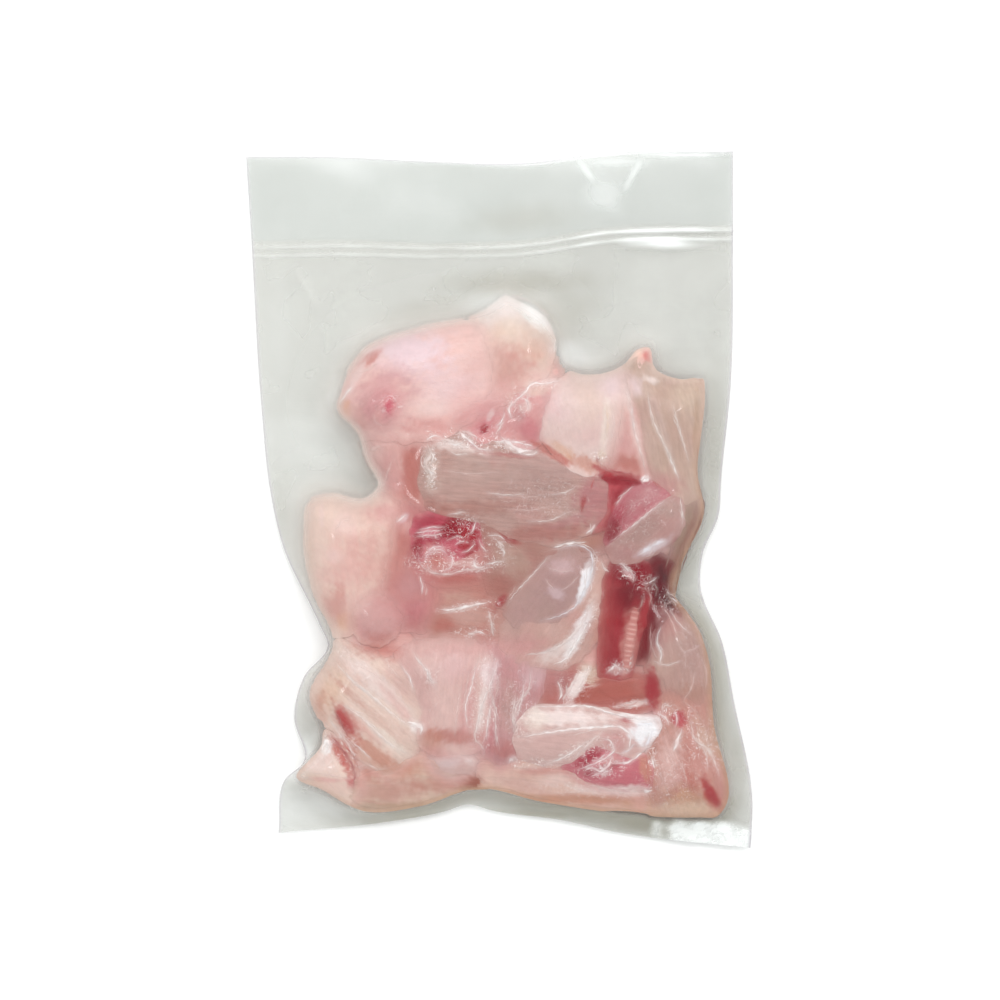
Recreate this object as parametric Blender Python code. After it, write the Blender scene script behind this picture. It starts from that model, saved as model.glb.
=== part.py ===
"""Vacuum pack of raw grouper chunks, lying flat, modelled as one closed solid.

The pack is two plies of clear film sealed together round the edge. The fish between them
shows as relief: each chunk stands up under the film with its flakes stepped across it, the
film bridges the creases between chunks, and it runs out round them into a thin flat skirt.

Metres, +Z up. The origin is below the middle of the pack, on the surface it lies on.
+Y runs towards the mouth and +X to the right of the shown side.
"""

import math
from collections import namedtuple

import bmesh
import bpy
import numpy as np

NODE_NAME = "grouper_pack"

# The film
SKIRT_THICKNESS = 0.0010
SIDE_COLUMNS = 124
BODY_ROWS = 146
HEADER_ROWS = 16
TRIANGLE_BUDGET = 11400

# The seal across the header: distance from the seal line, and how far the film stands up there
SEAL_ROWS = (
    (-0.0046, 0.0),
    (-0.0034, 0.0007),
    (-0.0022, 0.0),
    (-0.0010, 0.0),
    (0.0000, 0.0008),
    (0.0010, 0.0),
    (0.0022, 0.0),
)

# The bag's edges in plan, each as the points that a smooth curve runs through
MOUTH_EDGE = (
    (-0.1045, 0.1420),
    (-0.0679, 0.1411),
    (-0.0329, 0.1393),
    (0.0123, 0.1383),
    (0.0411, 0.1416),
    (0.0658, 0.1432),
    (0.0959, 0.1440),
)
SEAL_LINE = (
    (-0.1022, 0.1044),
    (-0.0679, 0.1049),
    (-0.0123, 0.1041),
    (0.0165, 0.1059),
    (0.0370, 0.1094),
    (0.0617, 0.1114),
    (0.0961, 0.1114),
)
BOTTOM_EDGE = (
    (-0.0918, -0.1379),
    (-0.0500, -0.1337),
    (-0.0226, -0.1288),
    (-0.0132, -0.1261),
    (-0.0033, -0.1286),
    (0.0250, -0.1325),
    (0.0473, -0.1374),
    (0.1037, -0.1440),
)
LEFT_EDGE = (
    (-0.0918, -0.1379),
    (-0.0889, -0.1156),
    (-0.0811, -0.1082),
    (-0.0852, -0.0900),
    (-0.0811, -0.0732),
    (-0.0712, -0.0600),
    (-0.0749, -0.0510),
    (-0.0901, -0.0177),
    (-0.0946, 0.0041),
    (-0.0979, 0.0370),
    (-0.1022, 0.1044),
)
RIGHT_EDGE = (
    (0.1037, -0.1440),
    (0.1045, -0.1255),
    (0.0967, -0.0823),
    (0.0922, -0.0597),
    (0.0829, -0.0350),
    (0.0840, -0.0220),
    (0.0903, -0.0062),
    (0.0909, 0.0082),
    (0.0951, 0.0494),
    (0.0961, 0.1114),
)

# How high the skirt rides over the table, at its edge and where it meets the fish
SKIRT_REST = 0.0012
SKIRT_UNEVEN = 0.0005
SKIRT_AT_FISH = 0.0050
FISH_REACH = 0.012
# Each wave of the header: its place along X, its half-width and its height
HEADER_WAVES = ((-0.070, 0.024, 0.0035), (0.048, 0.026, 0.0065))

# Sharp folds of the skirt: x, y of one end, x, y of the other, half-width, height
Pleat = namedtuple("Pleat", "x0 y0 x1 y1 half_width height")
PLEATS = (
    Pleat(0.0735, -0.0370, 0.0850, -0.0414, 0.0011, 0.0022),
    Pleat(0.0735, -0.0385, 0.0860, -0.0502, 0.0011, 0.0020),
    Pleat(0.0730, -0.0362, 0.0835, -0.0262, 0.0012, 0.0022),
    Pleat(-0.0880, 0.0200, -0.0580, 0.0080, 0.0022, 0.0016),
    Pleat(-0.0930, 0.0330, -0.0680, 0.0250, 0.0020, 0.0012),
    Pleat(-0.0900, -0.1260, -0.0800, -0.1165, 0.0012, 0.0018),
    Pleat(-0.0840, -0.1330, -0.0740, -0.1230, 0.0012, 0.0014),
    Pleat(0.0640, -0.1395, 0.0760, -0.1330, 0.0010, 0.0018),
    Pleat(0.0760, -0.1415, 0.0860, -0.1340, 0.0010, 0.0020),
    Pleat(0.0880, -0.1425, 0.0960, -0.1335, 0.0010, 0.0018),
    Pleat(0.0900, -0.1280, 0.1020, -0.1330, 0.0010, 0.0014),
    Pleat(0.0310, 0.1180, 0.0440, 0.1410, 0.0024, 0.0016),
    Pleat(0.0470, 0.1210, 0.0600, 0.1420, 0.0024, 0.0014),
    Pleat(-0.0860, 0.0990, -0.0740, 0.0730, 0.0020, 0.0012),
)

# The fish
SIDE_ROUND = 0.0150
SIDE_SHAPE = 1.9
GAP_FLOOR = 0.0145
CREASE_ROUNDS = 9
FILM_PULL = 0.00003
FILM_OVER_FISH = 0.0003
SHOULDER = 2.8
FOOT_SHOULDER = 3.6
FOOT_CREASE = 0.0060
FLAKE_DEPTH = 0.0014
WOBBLE = 0.06
CRAG_HEIGHT = 0.0007
CRAG_SIZE = 0.014
FLAT_BELOW = 0.0004

# The outline of all the fish together, seen from above
FISH_OUTLINE = (
    (0.0021, 0.0852),
    (0.0185, 0.0761),
    (0.0309, 0.0530),
    (0.0576, 0.0630),
    (0.0640, 0.0550),
    (0.0839, 0.0490),
    (0.0823, 0.0123),
    (0.0844, -0.0082),
    (0.0749, -0.0370),
    (0.0834, -0.0494),
    (0.0889, -0.0905),
    (0.0922, -0.1276),
    (0.0823, -0.1309),
    (0.0165, -0.1247),
    (-0.0091, -0.1193),
    (-0.0329, -0.1267),
    (-0.0576, -0.1284),
    (-0.0741, -0.1193),
    (-0.0842, -0.1150),
    (-0.0732, -0.0988),
    (-0.0790, -0.0800),
    (-0.0692, -0.0590),
    (-0.0782, -0.0370),
    (-0.0815, -0.0123),
    (-0.0790, 0.0010),
    (-0.0700, 0.0035),
    (-0.0552, 0.0017),
    (-0.0508, 0.0055),
    (-0.0556, 0.0158),
    (-0.0598, 0.0284),
    (-0.0667, 0.0350),
    (-0.0576, 0.0617),
    (-0.0329, 0.0720),
    (-0.0082, 0.0780),
)

# x, y: middle. turn: degrees from +X to its length. taper: how much wider its far end is than
# its near end. bend: how far its ends curl to its left. corner: 2 is an oval, 5 nearly a block.
# top: how high it stands. flake: width of its flakes, 0 for none. lay: their slant to its length.
Chunk = namedtuple("Chunk", "name x y length width turn taper bend corner top flake lay")
CHUNKS = (
    Chunk("top_left", -0.0329, 0.0473, 0.070, 0.049, 8, 0.10, 0.000, 2.6, 0.0235, 0.000, 0),
    Chunk("crown", 0.0055, 0.0630, 0.046, 0.038, 70, -0.10, 0.000, 2.6, 0.0205, 0.000, 0),
    Chunk("throat", -0.0075, 0.0360, 0.036, 0.022, 12, 0.00, 0.000, 2.8, 0.0215, 0.000, 0),
    Chunk("nodule", -0.0502, 0.0432, 0.034, 0.029, 35, 0.00, 0.000, 2.3, 0.0262, 0.000, 0),
    Chunk("neck", -0.0440, 0.0140, 0.042, 0.032, 100, -0.10, 0.000, 3.0, 0.0170, 0.010, 90),
    Chunk("slab", 0.0062, 0.0075, 0.078, 0.039, -5, -0.05, 0.002, 3.6, 0.0258, 0.012, 98),
    Chunk("fold", 0.0144, 0.0379, 0.030, 0.026, 40, 0.10, 0.000, 2.6, 0.0262, 0.000, 0),
    Chunk("cheek", 0.0350, 0.0309, 0.047, 0.036, 100, -0.10, 0.000, 2.5, 0.0262, 0.000, 0),
    Chunk("flaked_corner", 0.0660, 0.0310, 0.062, 0.040, 103, 0.22, 0.000, 4.2, 0.0232, 0.0095, 90),
    Chunk("right_rim", 0.0785, -0.0125, 0.052, 0.018, 98, 0.00, -0.003, 3.2, 0.0185, 0.000, 0),
    Chunk("upper_wedge", 0.0527, -0.0028, 0.034, 0.015, 46, 0.25, 0.000, 3.2, 0.0243, 0.000, 0),
    Chunk("lower_wedge", 0.0597, -0.0108, 0.043, 0.019, 38, 0.15, 0.000, 3.6, 0.0260, 0.000, 0),
    Chunk("blood_gap", 0.0461, 0.0005, 0.036, 0.022, 78, 0.00, 0.000, 2.6, 0.0208, 0.000, 0),
    Chunk("left_lump", -0.0617, -0.0206, 0.060, 0.046, 98, 0.08, 0.000, 2.8, 0.0212, 0.000, 0),
    Chunk("left_inner", -0.0425, -0.0288, 0.047, 0.030, 82, 0.00, 0.000, 2.8, 0.0228, 0.000, 0),
    Chunk("small_bump", -0.0543, -0.0486, 0.027, 0.023, 20, 0.00, 0.000, 2.3, 0.0235, 0.000, 0),
    Chunk("blood_block", -0.0226, -0.0144, 0.031, 0.022, -6, 0.00, 0.000, 3.6, 0.0243, 0.000, 0),
    Chunk("centre_low", -0.0144, -0.0400, 0.052, 0.031, -10, 0.00, 0.000, 2.8, 0.0218, 0.009, 60),
    Chunk("centre_strip", 0.0144, -0.0214, 0.055, 0.026, -8, 0.00, 0.000, 2.8, 0.0234, 0.000, 0),
    Chunk("oval", 0.0218, -0.0432, 0.053, 0.034, 54, 0.05, 0.000, 2.2, 0.0272, 0.000, 0),
    Chunk("oval_under", 0.0309, -0.0514, 0.058, 0.030, 57, 0.00, 0.002, 2.6, 0.0238, 0.000, 0),
    Chunk("bloodline", 0.0502, -0.0473, 0.053, 0.025, 81, 0.00, 0.000, 3.4, 0.0240, 0.000, 0),
    Chunk("blood_tip", 0.0672, -0.0395, 0.036, 0.018, 78, 0.00, 0.000, 2.6, 0.0225, 0.000, 0),
    Chunk("right_mid", 0.0770, -0.0617, 0.050, 0.027, 103, 0.00, 0.000, 3.0, 0.0222, 0.000, 0),
    Chunk("mid_strip", 0.0411, -0.0782, 0.055, 0.020, 4, 0.00, 0.000, 2.8, 0.0228, 0.000, 0),
    Chunk("lower_left", -0.0560, -0.0790, 0.060, 0.038, -41, -0.10, 0.000, 3.4, 0.0232, 0.0090, 90),
    Chunk("left_tip", -0.0672, -0.1085, 0.040, 0.027, -50, 0.15, 0.000, 3.0, 0.0200, 0.000, 0),
    Chunk("lower_mid", -0.0206, -0.0790, 0.055, 0.048, 88, 0.00, 0.000, 3.2, 0.0240, 0.011, 84),
    Chunk("flake_mid", 0.0040, -0.0850, 0.050, 0.030, 86, 0.00, 0.000, 3.4, 0.0250, 0.0075, 90),
    Chunk("bottom_left", -0.0420, -0.1165, 0.080, 0.030, -2, 0.10, 0.000, 2.8, 0.0200, 0.000, 0),
    Chunk("bottom_mid", 0.0280, -0.1165, 0.078, 0.025, -5, 0.10, 0.000, 2.8, 0.0205, 0.008, 90),
    Chunk("silver_skin", 0.0350, -0.0975, 0.064, 0.033, -6, -0.12, 0.000, 3.2, 0.0260, 0.000, 0),
    Chunk("lower_right", 0.0775, -0.1010, 0.062, 0.036, 102, -0.10, 0.000, 3.2, 0.0236, 0.012, 110),
    Chunk("corner", 0.0785, -0.1230, 0.036, 0.021, 2, 0.20, 0.000, 3.4, 0.0190, 0.000, 0),
)
SEED = 41

# The look of the film over the fish
PACK_COLOUR = (0.80, 0.62, 0.57, 1.0)
PACK_ROUGHNESS = 0.22


def clear_scene():
    for obj in list(bpy.data.objects):
        bpy.data.objects.remove(obj)


def along(points, share):
    """A point at each share, 0 to 1, of a smooth curve through the points."""
    points = np.array(points, float)
    run = np.concatenate(([0.0], np.cumsum(np.hypot(*np.diff(points, axis=0).T))))
    slopes = np.gradient(points, run, axis=0)
    place = np.clip(share, 0, 1) * run[-1]
    step = np.clip(np.searchsorted(run, place, side="right") - 1, 0, len(points) - 2)
    gap = (run[step + 1] - run[step])[..., None]
    t = (place - run[step])[..., None] / gap
    return (
        (1 + 2 * t) * (1 - t) ** 2 * points[step]
        + t * (1 - t) ** 2 * gap * slopes[step]
        + t**2 * (3 - 2 * t) * points[step + 1]
        + t**2 * (t - 1) * gap * slopes[step + 1]
    )


def patch(near, far, left, right, s, t):
    """A surface stretched between four edges: s runs along near and far, t from near to far."""
    s, t = s[..., None], t[..., None]
    corners = (
        (1 - s) * (1 - t) * left[0]
        + s * (1 - t) * right[0]
        + (1 - s) * t * left[1]
        + s * t * right[1]
    )
    return (1 - t) * near + t * far + (1 - s) * left[2] + s * right[2] - corners


def edge_ends(curve, t):
    """Both ends of a side edge, and its point at each t."""
    return along(curve, np.array(0.0)), along(curve, np.array(1.0)), along(curve, t)


def plan_of_body(s, t):
    """Plan positions between the bottom edge and the seal line."""
    left, right = edge_ends(LEFT_EDGE, t), edge_ends(RIGHT_EDGE, t)
    return patch(along(BOTTOM_EDGE, s), along(SEAL_LINE, s), left, right, s, t)


def plan_of_header(s, t):
    """Plan positions between the seal line and the mouth."""
    left = edge_ends((SEAL_LINE[0], MOUTH_EDGE[0]), t)
    right = edge_ends((SEAL_LINE[-1], MOUTH_EDGE[-1]), t)
    return patch(along(SEAL_LINE, s), along(MOUTH_EDGE, s), left, right, s, t)


def film_plan():
    """Plan positions of the film's grid, row by row from the bottom edge, and the seal's ribs."""
    seal_from, seal_to = SEAL_ROWS[0][0], SEAL_ROWS[-1][0]
    body_length = LEFT_EDGE[-1][1] - LEFT_EDGE[0][1]
    header_length = MOUTH_EDGE[0][1] - SEAL_LINE[0][1]
    columns = np.linspace(0, 1, SIDE_COLUMNS + 1)
    body = np.linspace(0, 1 + seal_from / body_length, BODY_ROWS, endpoint=False)
    header = np.linspace(seal_to / header_length, 1, HEADER_ROWS + 1)[1:]
    rows, ribs = [], []
    for t in body:
        rows.append(plan_of_body(columns, np.full_like(columns, t)))
        ribs.append(0.0)
    for offset, height in SEAL_ROWS:
        if offset < 0:
            t = 1 + offset / body_length
            rows.append(plan_of_body(columns, np.full_like(columns, t)))
        else:
            t = offset / header_length
            rows.append(plan_of_header(columns, np.full_like(columns, t)))
        ribs.append(height)
    for t in header:
        rows.append(plan_of_header(columns, np.full_like(columns, t)))
        ribs.append(0.0)
    return np.array(rows), np.array(ribs)[:, None]


def depth_inside(outline, x, y):
    """Distance in from a closed outline, negative outside it."""
    closed = along(outline + outline[:1], np.linspace(0, 1, 8 * len(outline) + 1))
    start, end = closed[:-1], closed[1:]
    nearest = np.full(x.shape, np.inf)
    crossings = np.zeros(x.shape, int)
    for (x0, y0), (x1, y1) in zip(start, end):
        run, rise = x1 - x0, y1 - y0
        share = np.clip(((x - x0) * run + (y - y0) * rise) / (run**2 + rise**2), 0, 1)
        nearest = np.minimum(nearest, np.hypot(x - x0 - share * run, y - y0 - share * rise))
        spans = (y0 > y) != (y1 > y)
        ahead = x < x0 + (y - y0) * run / (rise if rise else 1e-12)
        crossings += spans & ahead
    return np.where(crossings % 2 == 1, nearest, -nearest)


def ripple(x, y, size, seed):
    """Smooth unevenness, mostly between -1 and 1, in lumps of about this size."""
    draw = np.random.default_rng(seed)
    total = 0.0
    for _ in range(6):
        way = draw.uniform(0, 2 * math.pi)
        pitch = size * draw.uniform(0.8, 2.2)
        across = x * math.cos(way) + y * math.sin(way)
        total = total + np.sin(2 * math.pi * across / pitch + draw.uniform(0, 2 * math.pi))
    return total / 3.6


def chunk_frame(index, x, y):
    """Place along a chunk and across it, and its rim measure: 0 at its middle, 1 at its rim."""
    chunk = CHUNKS[index]
    turn = math.radians(chunk.turn)
    dx, dy = x - chunk.x, y - chunk.y
    along_it = dx * math.cos(turn) + dy * math.sin(turn)
    across = -dx * math.sin(turn) + dy * math.cos(turn)
    u = along_it / (chunk.length / 2)
    across = across - chunk.bend * (u**2 - 0.5)
    v = across / (chunk.width / 2 * np.clip(1 + chunk.taper * u, 0.3, 2))
    rim = (np.abs(u) ** chunk.corner + np.abs(v) ** chunk.corner) ** (1 / chunk.corner)
    rim = rim * (1 + WOBBLE * ripple(x, y, chunk.width, SEED + index))
    return along_it, across, rim


def flake_steps(chunk, along_it, across):
    """The stepped edges of a chunk's flakes, as a depth below its top."""
    if not chunk.flake:
        return 0.0
    slant = math.radians(chunk.lay)
    place = along_it * math.cos(slant) + across * math.sin(slant)
    step = (place / chunk.flake + 0.25) % 1.0
    return FLAKE_DEPTH * np.minimum(step, (1 - step) * 5) ** 1.5


def belly(rim, shape):
    """How full a chunk is: 1 over its middle, 0 at its rim and outside it."""
    return (1 - np.clip(rim, 0, 1) ** shape) ** (1 / shape)


def fish_surfaces(x, y):
    """Heights of the fish's upper and lower side, and how far in from its outline each place is."""
    depth = depth_inside(FISH_OUTLINE, x, y)
    top = np.full(x.shape, GAP_FLOOR)
    foot = np.full(x.shape, FOOT_CREASE)
    for index, chunk in enumerate(CHUNKS):
        along_it, across, rim = chunk_frame(index, x, y)
        middle = 0.4 * chunk.top
        crag = CRAG_HEIGHT * ripple(x, y, CRAG_SIZE, SEED + 100 + index)
        rise = (chunk.top - middle + crag) * belly(rim, SHOULDER)
        shape = np.where(rim < 1, middle + rise - flake_steps(chunk, along_it, across), 0)
        top = np.maximum(top, shape)
        foot = np.minimum(foot, FOOT_CREASE * (1 - belly(rim, FOOT_SHOULDER)))
    side = belly(1 - depth / SIDE_ROUND, SIDE_SHAPE)
    top = SKIRT_AT_FISH + (top - SKIRT_AT_FISH) * side
    foot = np.maximum(foot, FOOT_CREASE * (1 - side))
    return top, foot, depth


def neighbours(height):
    """The mean of each point's four neighbours. Edge points keep their own height."""
    mean = height.copy()
    mean[1:-1, 1:-1] = (
        height[2:, 1:-1] + height[:-2, 1:-1] + height[1:-1, 2:] + height[1:-1, :-2]
    ) / 4
    return mean


def settle(height, least, rounds):
    """Draws a sheet tight over what lies under it, with a slight pull down into the creases."""
    for _ in range(rounds):
        height = np.maximum(neighbours(height) - FILM_PULL, least)
    return height


def pleat_height(x, y):
    """The sharp folds of the skirt, highest half-way along each."""
    total = np.zeros(x.shape)
    for pleat in PLEATS:
        run, rise = pleat.x1 - pleat.x0, pleat.y1 - pleat.y0
        share = ((x - pleat.x0) * run + (y - pleat.y0) * rise) / (run**2 + rise**2)
        off = ((y - pleat.y0) * run - (x - pleat.x0) * rise) / math.hypot(run, rise)
        swell = np.sin(math.pi * np.clip(share, 0, 1)) ** 0.7
        total = total + pleat.height * swell * np.exp(-((off / pleat.half_width) ** 2))
    return total


def skirt_height(x, y, depth):
    """The middle of the film round the fish: low at its edge, up where the fish parts the plies."""
    wave = SKIRT_REST + SKIRT_UNEVEN * (1 + ripple(x, y, 0.05, SEED))
    in_header = np.clip((y - 0.085) / 0.05, 0, 1)
    for place, half_width, height in HEADER_WAVES:
        wave = wave + in_header * height * np.exp(-(((x - place) / half_width) ** 2))
    near = np.clip(1 + depth / FISH_REACH, 0, 1) ** 2.2
    return wave + (SKIRT_AT_FISH - wave) * near + pleat_height(x, y) * (1 - near)


def film_heights(x, y, ribs):
    """Heights of the upper and the lower film over each plan position."""
    top, foot, depth = fish_surfaces(x, y)
    skirt = skirt_height(x, y, depth)
    half = SKIRT_THICKNESS / 2
    fish = depth > 0
    upper_least = np.where(fish, np.maximum(top + FILM_OVER_FISH, skirt + half), skirt + half)
    upper_least = neighbours(neighbours(upper_least))
    lower_most = np.where(fish, foot, skirt - half)
    upper = settle(upper_least, upper_least, CREASE_ROUNDS)
    lower = -settle(-lower_most, -lower_most, CREASE_ROUNDS)
    lower = np.where(lower < FLAT_BELOW, 0.0, lower)
    return np.maximum(upper, lower + SKIRT_THICKNESS) + ribs, lower


def make_pack():
    """Two grids, one over the other and joined round the rim, draped over and under the fish."""
    plan, ribs = film_plan()
    rows, columns = plan.shape[:2]
    upper, lower = film_heights(plan[..., 0], plan[..., 1], ribs)
    mesh = bpy.data.meshes.new(NODE_NAME)
    shell = bmesh.new()
    bmesh.ops.create_grid(shell, x_segments=columns - 1, y_segments=rows - 1, size=0.5)
    bmesh.ops.solidify(shell, geom=shell.faces[:], thickness=1.0)
    heights = [vertex.co.z for vertex in shell.verts]
    halfway = (max(heights) + min(heights)) / 2
    for vertex in shell.verts:
        column = round((vertex.co.x + 0.5) * (columns - 1))
        row = round((vertex.co.y + 0.5) * (rows - 1))
        surface = upper if vertex.co.z > halfway else lower
        vertex.co = (*plan[row, column], surface[row, column])
    bmesh.ops.recalc_face_normals(shell, faces=shell.faces)
    bmesh.ops.triangulate(shell, faces=shell.faces[:])
    triangles = len(shell.faces)
    shell.to_mesh(mesh)
    shell.free()
    pack = bpy.data.objects.new(NODE_NAME, mesh)
    thin = pack.modifiers.new("coarser_where_flat", "DECIMATE")
    thin.ratio = TRIANGLE_BUDGET / triangles
    return pack


def flatten_foot(pack):
    """Applies the modifier and puts the underside that lies on the table exactly on it."""
    graph = bpy.context.evaluated_depsgraph_get()
    mesh = bpy.data.meshes.new_from_object(pack.evaluated_get(graph))
    pack.modifiers.clear()
    pack.data = mesh
    for vertex in mesh.vertices:
        if vertex.co.z < FLAT_BELOW:
            vertex.co.z = 0.0


def film_material():
    material = bpy.data.materials.new("film_over_fish")
    material.use_nodes = True
    shader = material.node_tree.nodes["Principled BSDF"]
    shader.inputs["Base Color"].default_value = PACK_COLOUR
    shader.inputs["Roughness"].default_value = PACK_ROUGHNESS
    shader.inputs["Metallic"].default_value = 0.0
    return material


def build():
    clear_scene()
    parts = bpy.data.collections.new("grouper_chunks_pack")
    bpy.context.scene.collection.children.link(parts)
    pack = make_pack()
    parts.objects.link(pack)
    bpy.context.view_layer.update()
    flatten_foot(pack)
    pack.data.materials.clear()
    pack.data.materials.append(film_material())
    pack.data.shade_smooth()


build()
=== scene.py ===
"""Vacuum pack of raw grouper chunks lying on a white surface, seen from straight above."""

import math
from collections import namedtuple

import bpy
import numpy as np
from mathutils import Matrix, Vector


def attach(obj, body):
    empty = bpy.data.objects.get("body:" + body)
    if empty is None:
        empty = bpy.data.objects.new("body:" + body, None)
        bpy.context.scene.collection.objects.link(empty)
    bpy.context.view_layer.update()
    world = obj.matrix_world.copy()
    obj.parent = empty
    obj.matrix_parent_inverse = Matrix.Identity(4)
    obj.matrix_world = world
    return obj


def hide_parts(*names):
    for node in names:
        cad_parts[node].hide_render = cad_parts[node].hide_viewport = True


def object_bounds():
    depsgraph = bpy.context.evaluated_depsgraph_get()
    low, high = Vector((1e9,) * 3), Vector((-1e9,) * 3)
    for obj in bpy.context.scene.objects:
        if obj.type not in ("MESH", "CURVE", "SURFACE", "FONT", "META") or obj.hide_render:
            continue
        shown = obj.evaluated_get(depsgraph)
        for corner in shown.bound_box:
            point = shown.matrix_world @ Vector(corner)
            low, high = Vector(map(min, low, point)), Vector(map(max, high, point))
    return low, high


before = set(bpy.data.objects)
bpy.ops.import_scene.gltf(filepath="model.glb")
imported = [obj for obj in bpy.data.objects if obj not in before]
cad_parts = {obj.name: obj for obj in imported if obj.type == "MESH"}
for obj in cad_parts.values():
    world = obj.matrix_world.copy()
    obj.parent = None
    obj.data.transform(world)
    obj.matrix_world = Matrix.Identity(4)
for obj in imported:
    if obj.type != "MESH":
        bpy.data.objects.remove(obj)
cad_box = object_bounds()

MM = 0.001
TURN = 2 * math.pi
NODE = "grouper_pack"

# Each use of chance adds a number of its own to this seed
SEED = 41

# The waves that make a ripple: how many, how long for its size, and how high they add up to
RIPPLE_WAVES = 6
RIPPLE_PITCH = (0.8, 2.2)
RIPPLE_HEIGHT = 3.6

# Places are given in picture points, counted from the picture's upper left corner
PICTURE_SIDE = 1000
MIDDLE = 500
POINT = 0.0004115

# The camera looks straight down. A picture point has its size at this height over the table
AIM_HEIGHT = 0.012
LENS = 135.0
SENSOR = 36.0


def rows(text):
    """The rows of a text, parted by commas. Each is a list of its numbers and words."""
    return [[float(word) if word[-1].isdigit() else word for word in row.split()]
            for row in text.split(",")]


# Film
FILM_COLUMNS = 236
FILM_ROWS = 292
HEADER_ROWS = 36
BACK_SHARE = 0.5
FILM_OVER = 0.45 * MM
PLY_GAP = 0.16 * MM
BACK_REST = 0.12 * MM
SEAL_WIDTH = 5.5 * MM
MOUTH_LIPS = 1.3 * MM

# How far across the seal each row is, and how high its ribs stand, in millimetres
SEAL_ROWS = rows("""
    -4.6 0.0, -4.0 0.35, -3.4 0.7, -2.8 0.35, -2.2 0.0, -1.2 0.0, -0.6 0.4, 0.0 0.8, 0.6 0.4,
    1.2 0.0, 2.2 0.0""")

# Edges in plan, in millimetres from the pack's middle
MOUTH_EDGE = rows("""
    -105.2 142.3, -67.9 141.8, -32.9 140.4, 12.3 139.6, 41.1 142.8, 65.8 144.2, 96.6 144.5""")
SEAL_LINE = rows("""
    -102.8 104.4, -67.9 104.9, -12.3 104.1, 16.5 105.9, 37.0 109.4, 61.7 111.4, 96.6 111.4""")
BOTTOM_EDGE = rows("""
    -91.8 -137.9, -50.0 -133.7, -22.6 -128.8, -13.2 -126.1, -3.3 -128.6, 25.0 -132.5,
    47.3 -137.4, 103.7 -144.0""")
LEFT_EDGE = rows("""
    -91.8 -137.9, -88.9 -115.6, -81.1 -108.2, -85.2 -90.0, -81.1 -73.2, -71.2 -60.0,
    -74.9 -51.0, -90.3 -17.7, -95.2 4.1, -98.7 37.0, -102.8 104.4""")
RIGHT_EDGE = rows("""
    103.7 -144.0, 104.5 -125.5, 96.7 -82.3, 92.2 -59.7, 82.9 -35.0, 84.0 -22.0, 90.5 -6.2,
    91.6 8.2, 95.7 49.4, 96.6 111.4""")
FISH_OUTLINE = rows("""
    2.1 85.2, 18.5 76.1, 30.9 53.0, 50.6 56.0, 57.0 62.8, 61.6 63.4, 64.0 54.5, 73.7 50.2,
    84.5 50.0, 84.8 46.5, 82.9 24.3, 81.6 12.3, 84.4 -5.5, 76.3 -24.0, 71.6 -37.6, 77.6 -46.0,
    82.2 -53.0, 85.6 -62.5, 88.2 -90.5, 91.6 -128.9, 90.0 -130.6, 82.3 -131.0, 16.5 -124.7,
    -9.1 -119.3, -32.9 -126.7, -57.6 -128.4, -74.1 -119.3, -84.2 -115.0, -73.2 -98.8,
    -79.0 -80.0, -69.2 -59.0, -78.2 -37.0, -81.5 -12.3, -79.0 1.0, -70.0 3.5, -55.2 1.7,
    -50.8 5.5, -55.6 15.8, -59.8 28.4, -66.7 35.0, -57.6 61.7, -32.9 72.0, -8.2 78.0""")

SKIRT_REST = 1.2 * MM
SKIRT_UNEVEN = 0.5 * MM
SKIRT_AT_FISH = 5.0 * MM
SKIRT_LEAST = 0.5 * MM
SKIRT_WAVE = 0.05
SKIRT_SOFT = 0.5 * MM
FISH_REACH = 12.0 * MM

# Gentle waves of the header: middle, half-width and height in millimetres
HEADER_WAVES = ((-70, 24, 3.5), (48, 26, 6.5))
HEADER_FROM = 85 * MM
HEADER_RISE = 50 * MM

# Lumps in the skirt: height, size, and what is added to the seed
CREASES = ((0.9 * MM, 5 * MM, 21), (0.5 * MM, 2.6 * MM, 24))
FLUTTER = (0.16 * MM, 12 * MM, 22)
DRAWN_FOLDS = (0.30 * MM, 6.5 * MM, 25)

# Sharp folds: ends in picture points, half-width and height in millimetres
PLEATS = rows("""
    677 590 707 601 1.0 1.8, 677 593 709 622 1.0 1.6, 677 588 703 564 1.0 1.8,
    679 597 700 640 0.9 1.2, 286 451 359 481 2.0 1.4, 274 420 335 439 2.0 1.0,
    281 806 306 783 1.0 1.5, 296 823 320 799 1.0 1.2, 655 839 685 823 0.9 1.3,
    685 844 709 826 0.9 1.5, 714 846 733 824 0.9 1.4, 719 811 748 823 0.9 1.2,
    576 150 600 198 2.6 0.9, 644 150 622 200 2.6 0.8, 291 259 320 322 1.8 1.0,
    560 330 600 352 1.6 0.9, 455 322 478 296 1.2 0.9, 700 372 716 350 1.2 1.0,
    330 398 316 380 1.2 0.9""")
PLEAT_BOW = 0.6

# The crinkled lower right corner, whitened there partly by its crinkles and partly as painted
# sparkle: an oval's middle, half-lengths and turn, and where it ends
CRIMPED_CORNER = (713, 838, 60, 17, 6)
CRIMPED_FADE = (0.6, 1.15)

# Where the mouth gapes: middle and half-width in millimetres, of the upper ply and the lower
UPPER_LIP = (30, 50)
LOWER_LIP = (35, 40)
LOWER_LIP_BACK = 1.4 * MM

# How the upper ply is drawn: it spans from one chunk to the next and stays clear of both
BODY_LENGTH = 0.246
FILM_LEAST = 0.32 * MM
WIDE_ROUNDS = 14
TIGHT_ROUNDS = 16
TIGHT_PULL = 0.006 * MM
BRIDGE_RIPPLE = 0.12 * MM
BESIDE = ((0.8, 0), (-0.8, 0), (0, 0.8), (0, -0.8), (0.6, 0.6), (0.6, -0.6), (-0.6, 0.6),
          (-0.6, -0.6))

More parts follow.
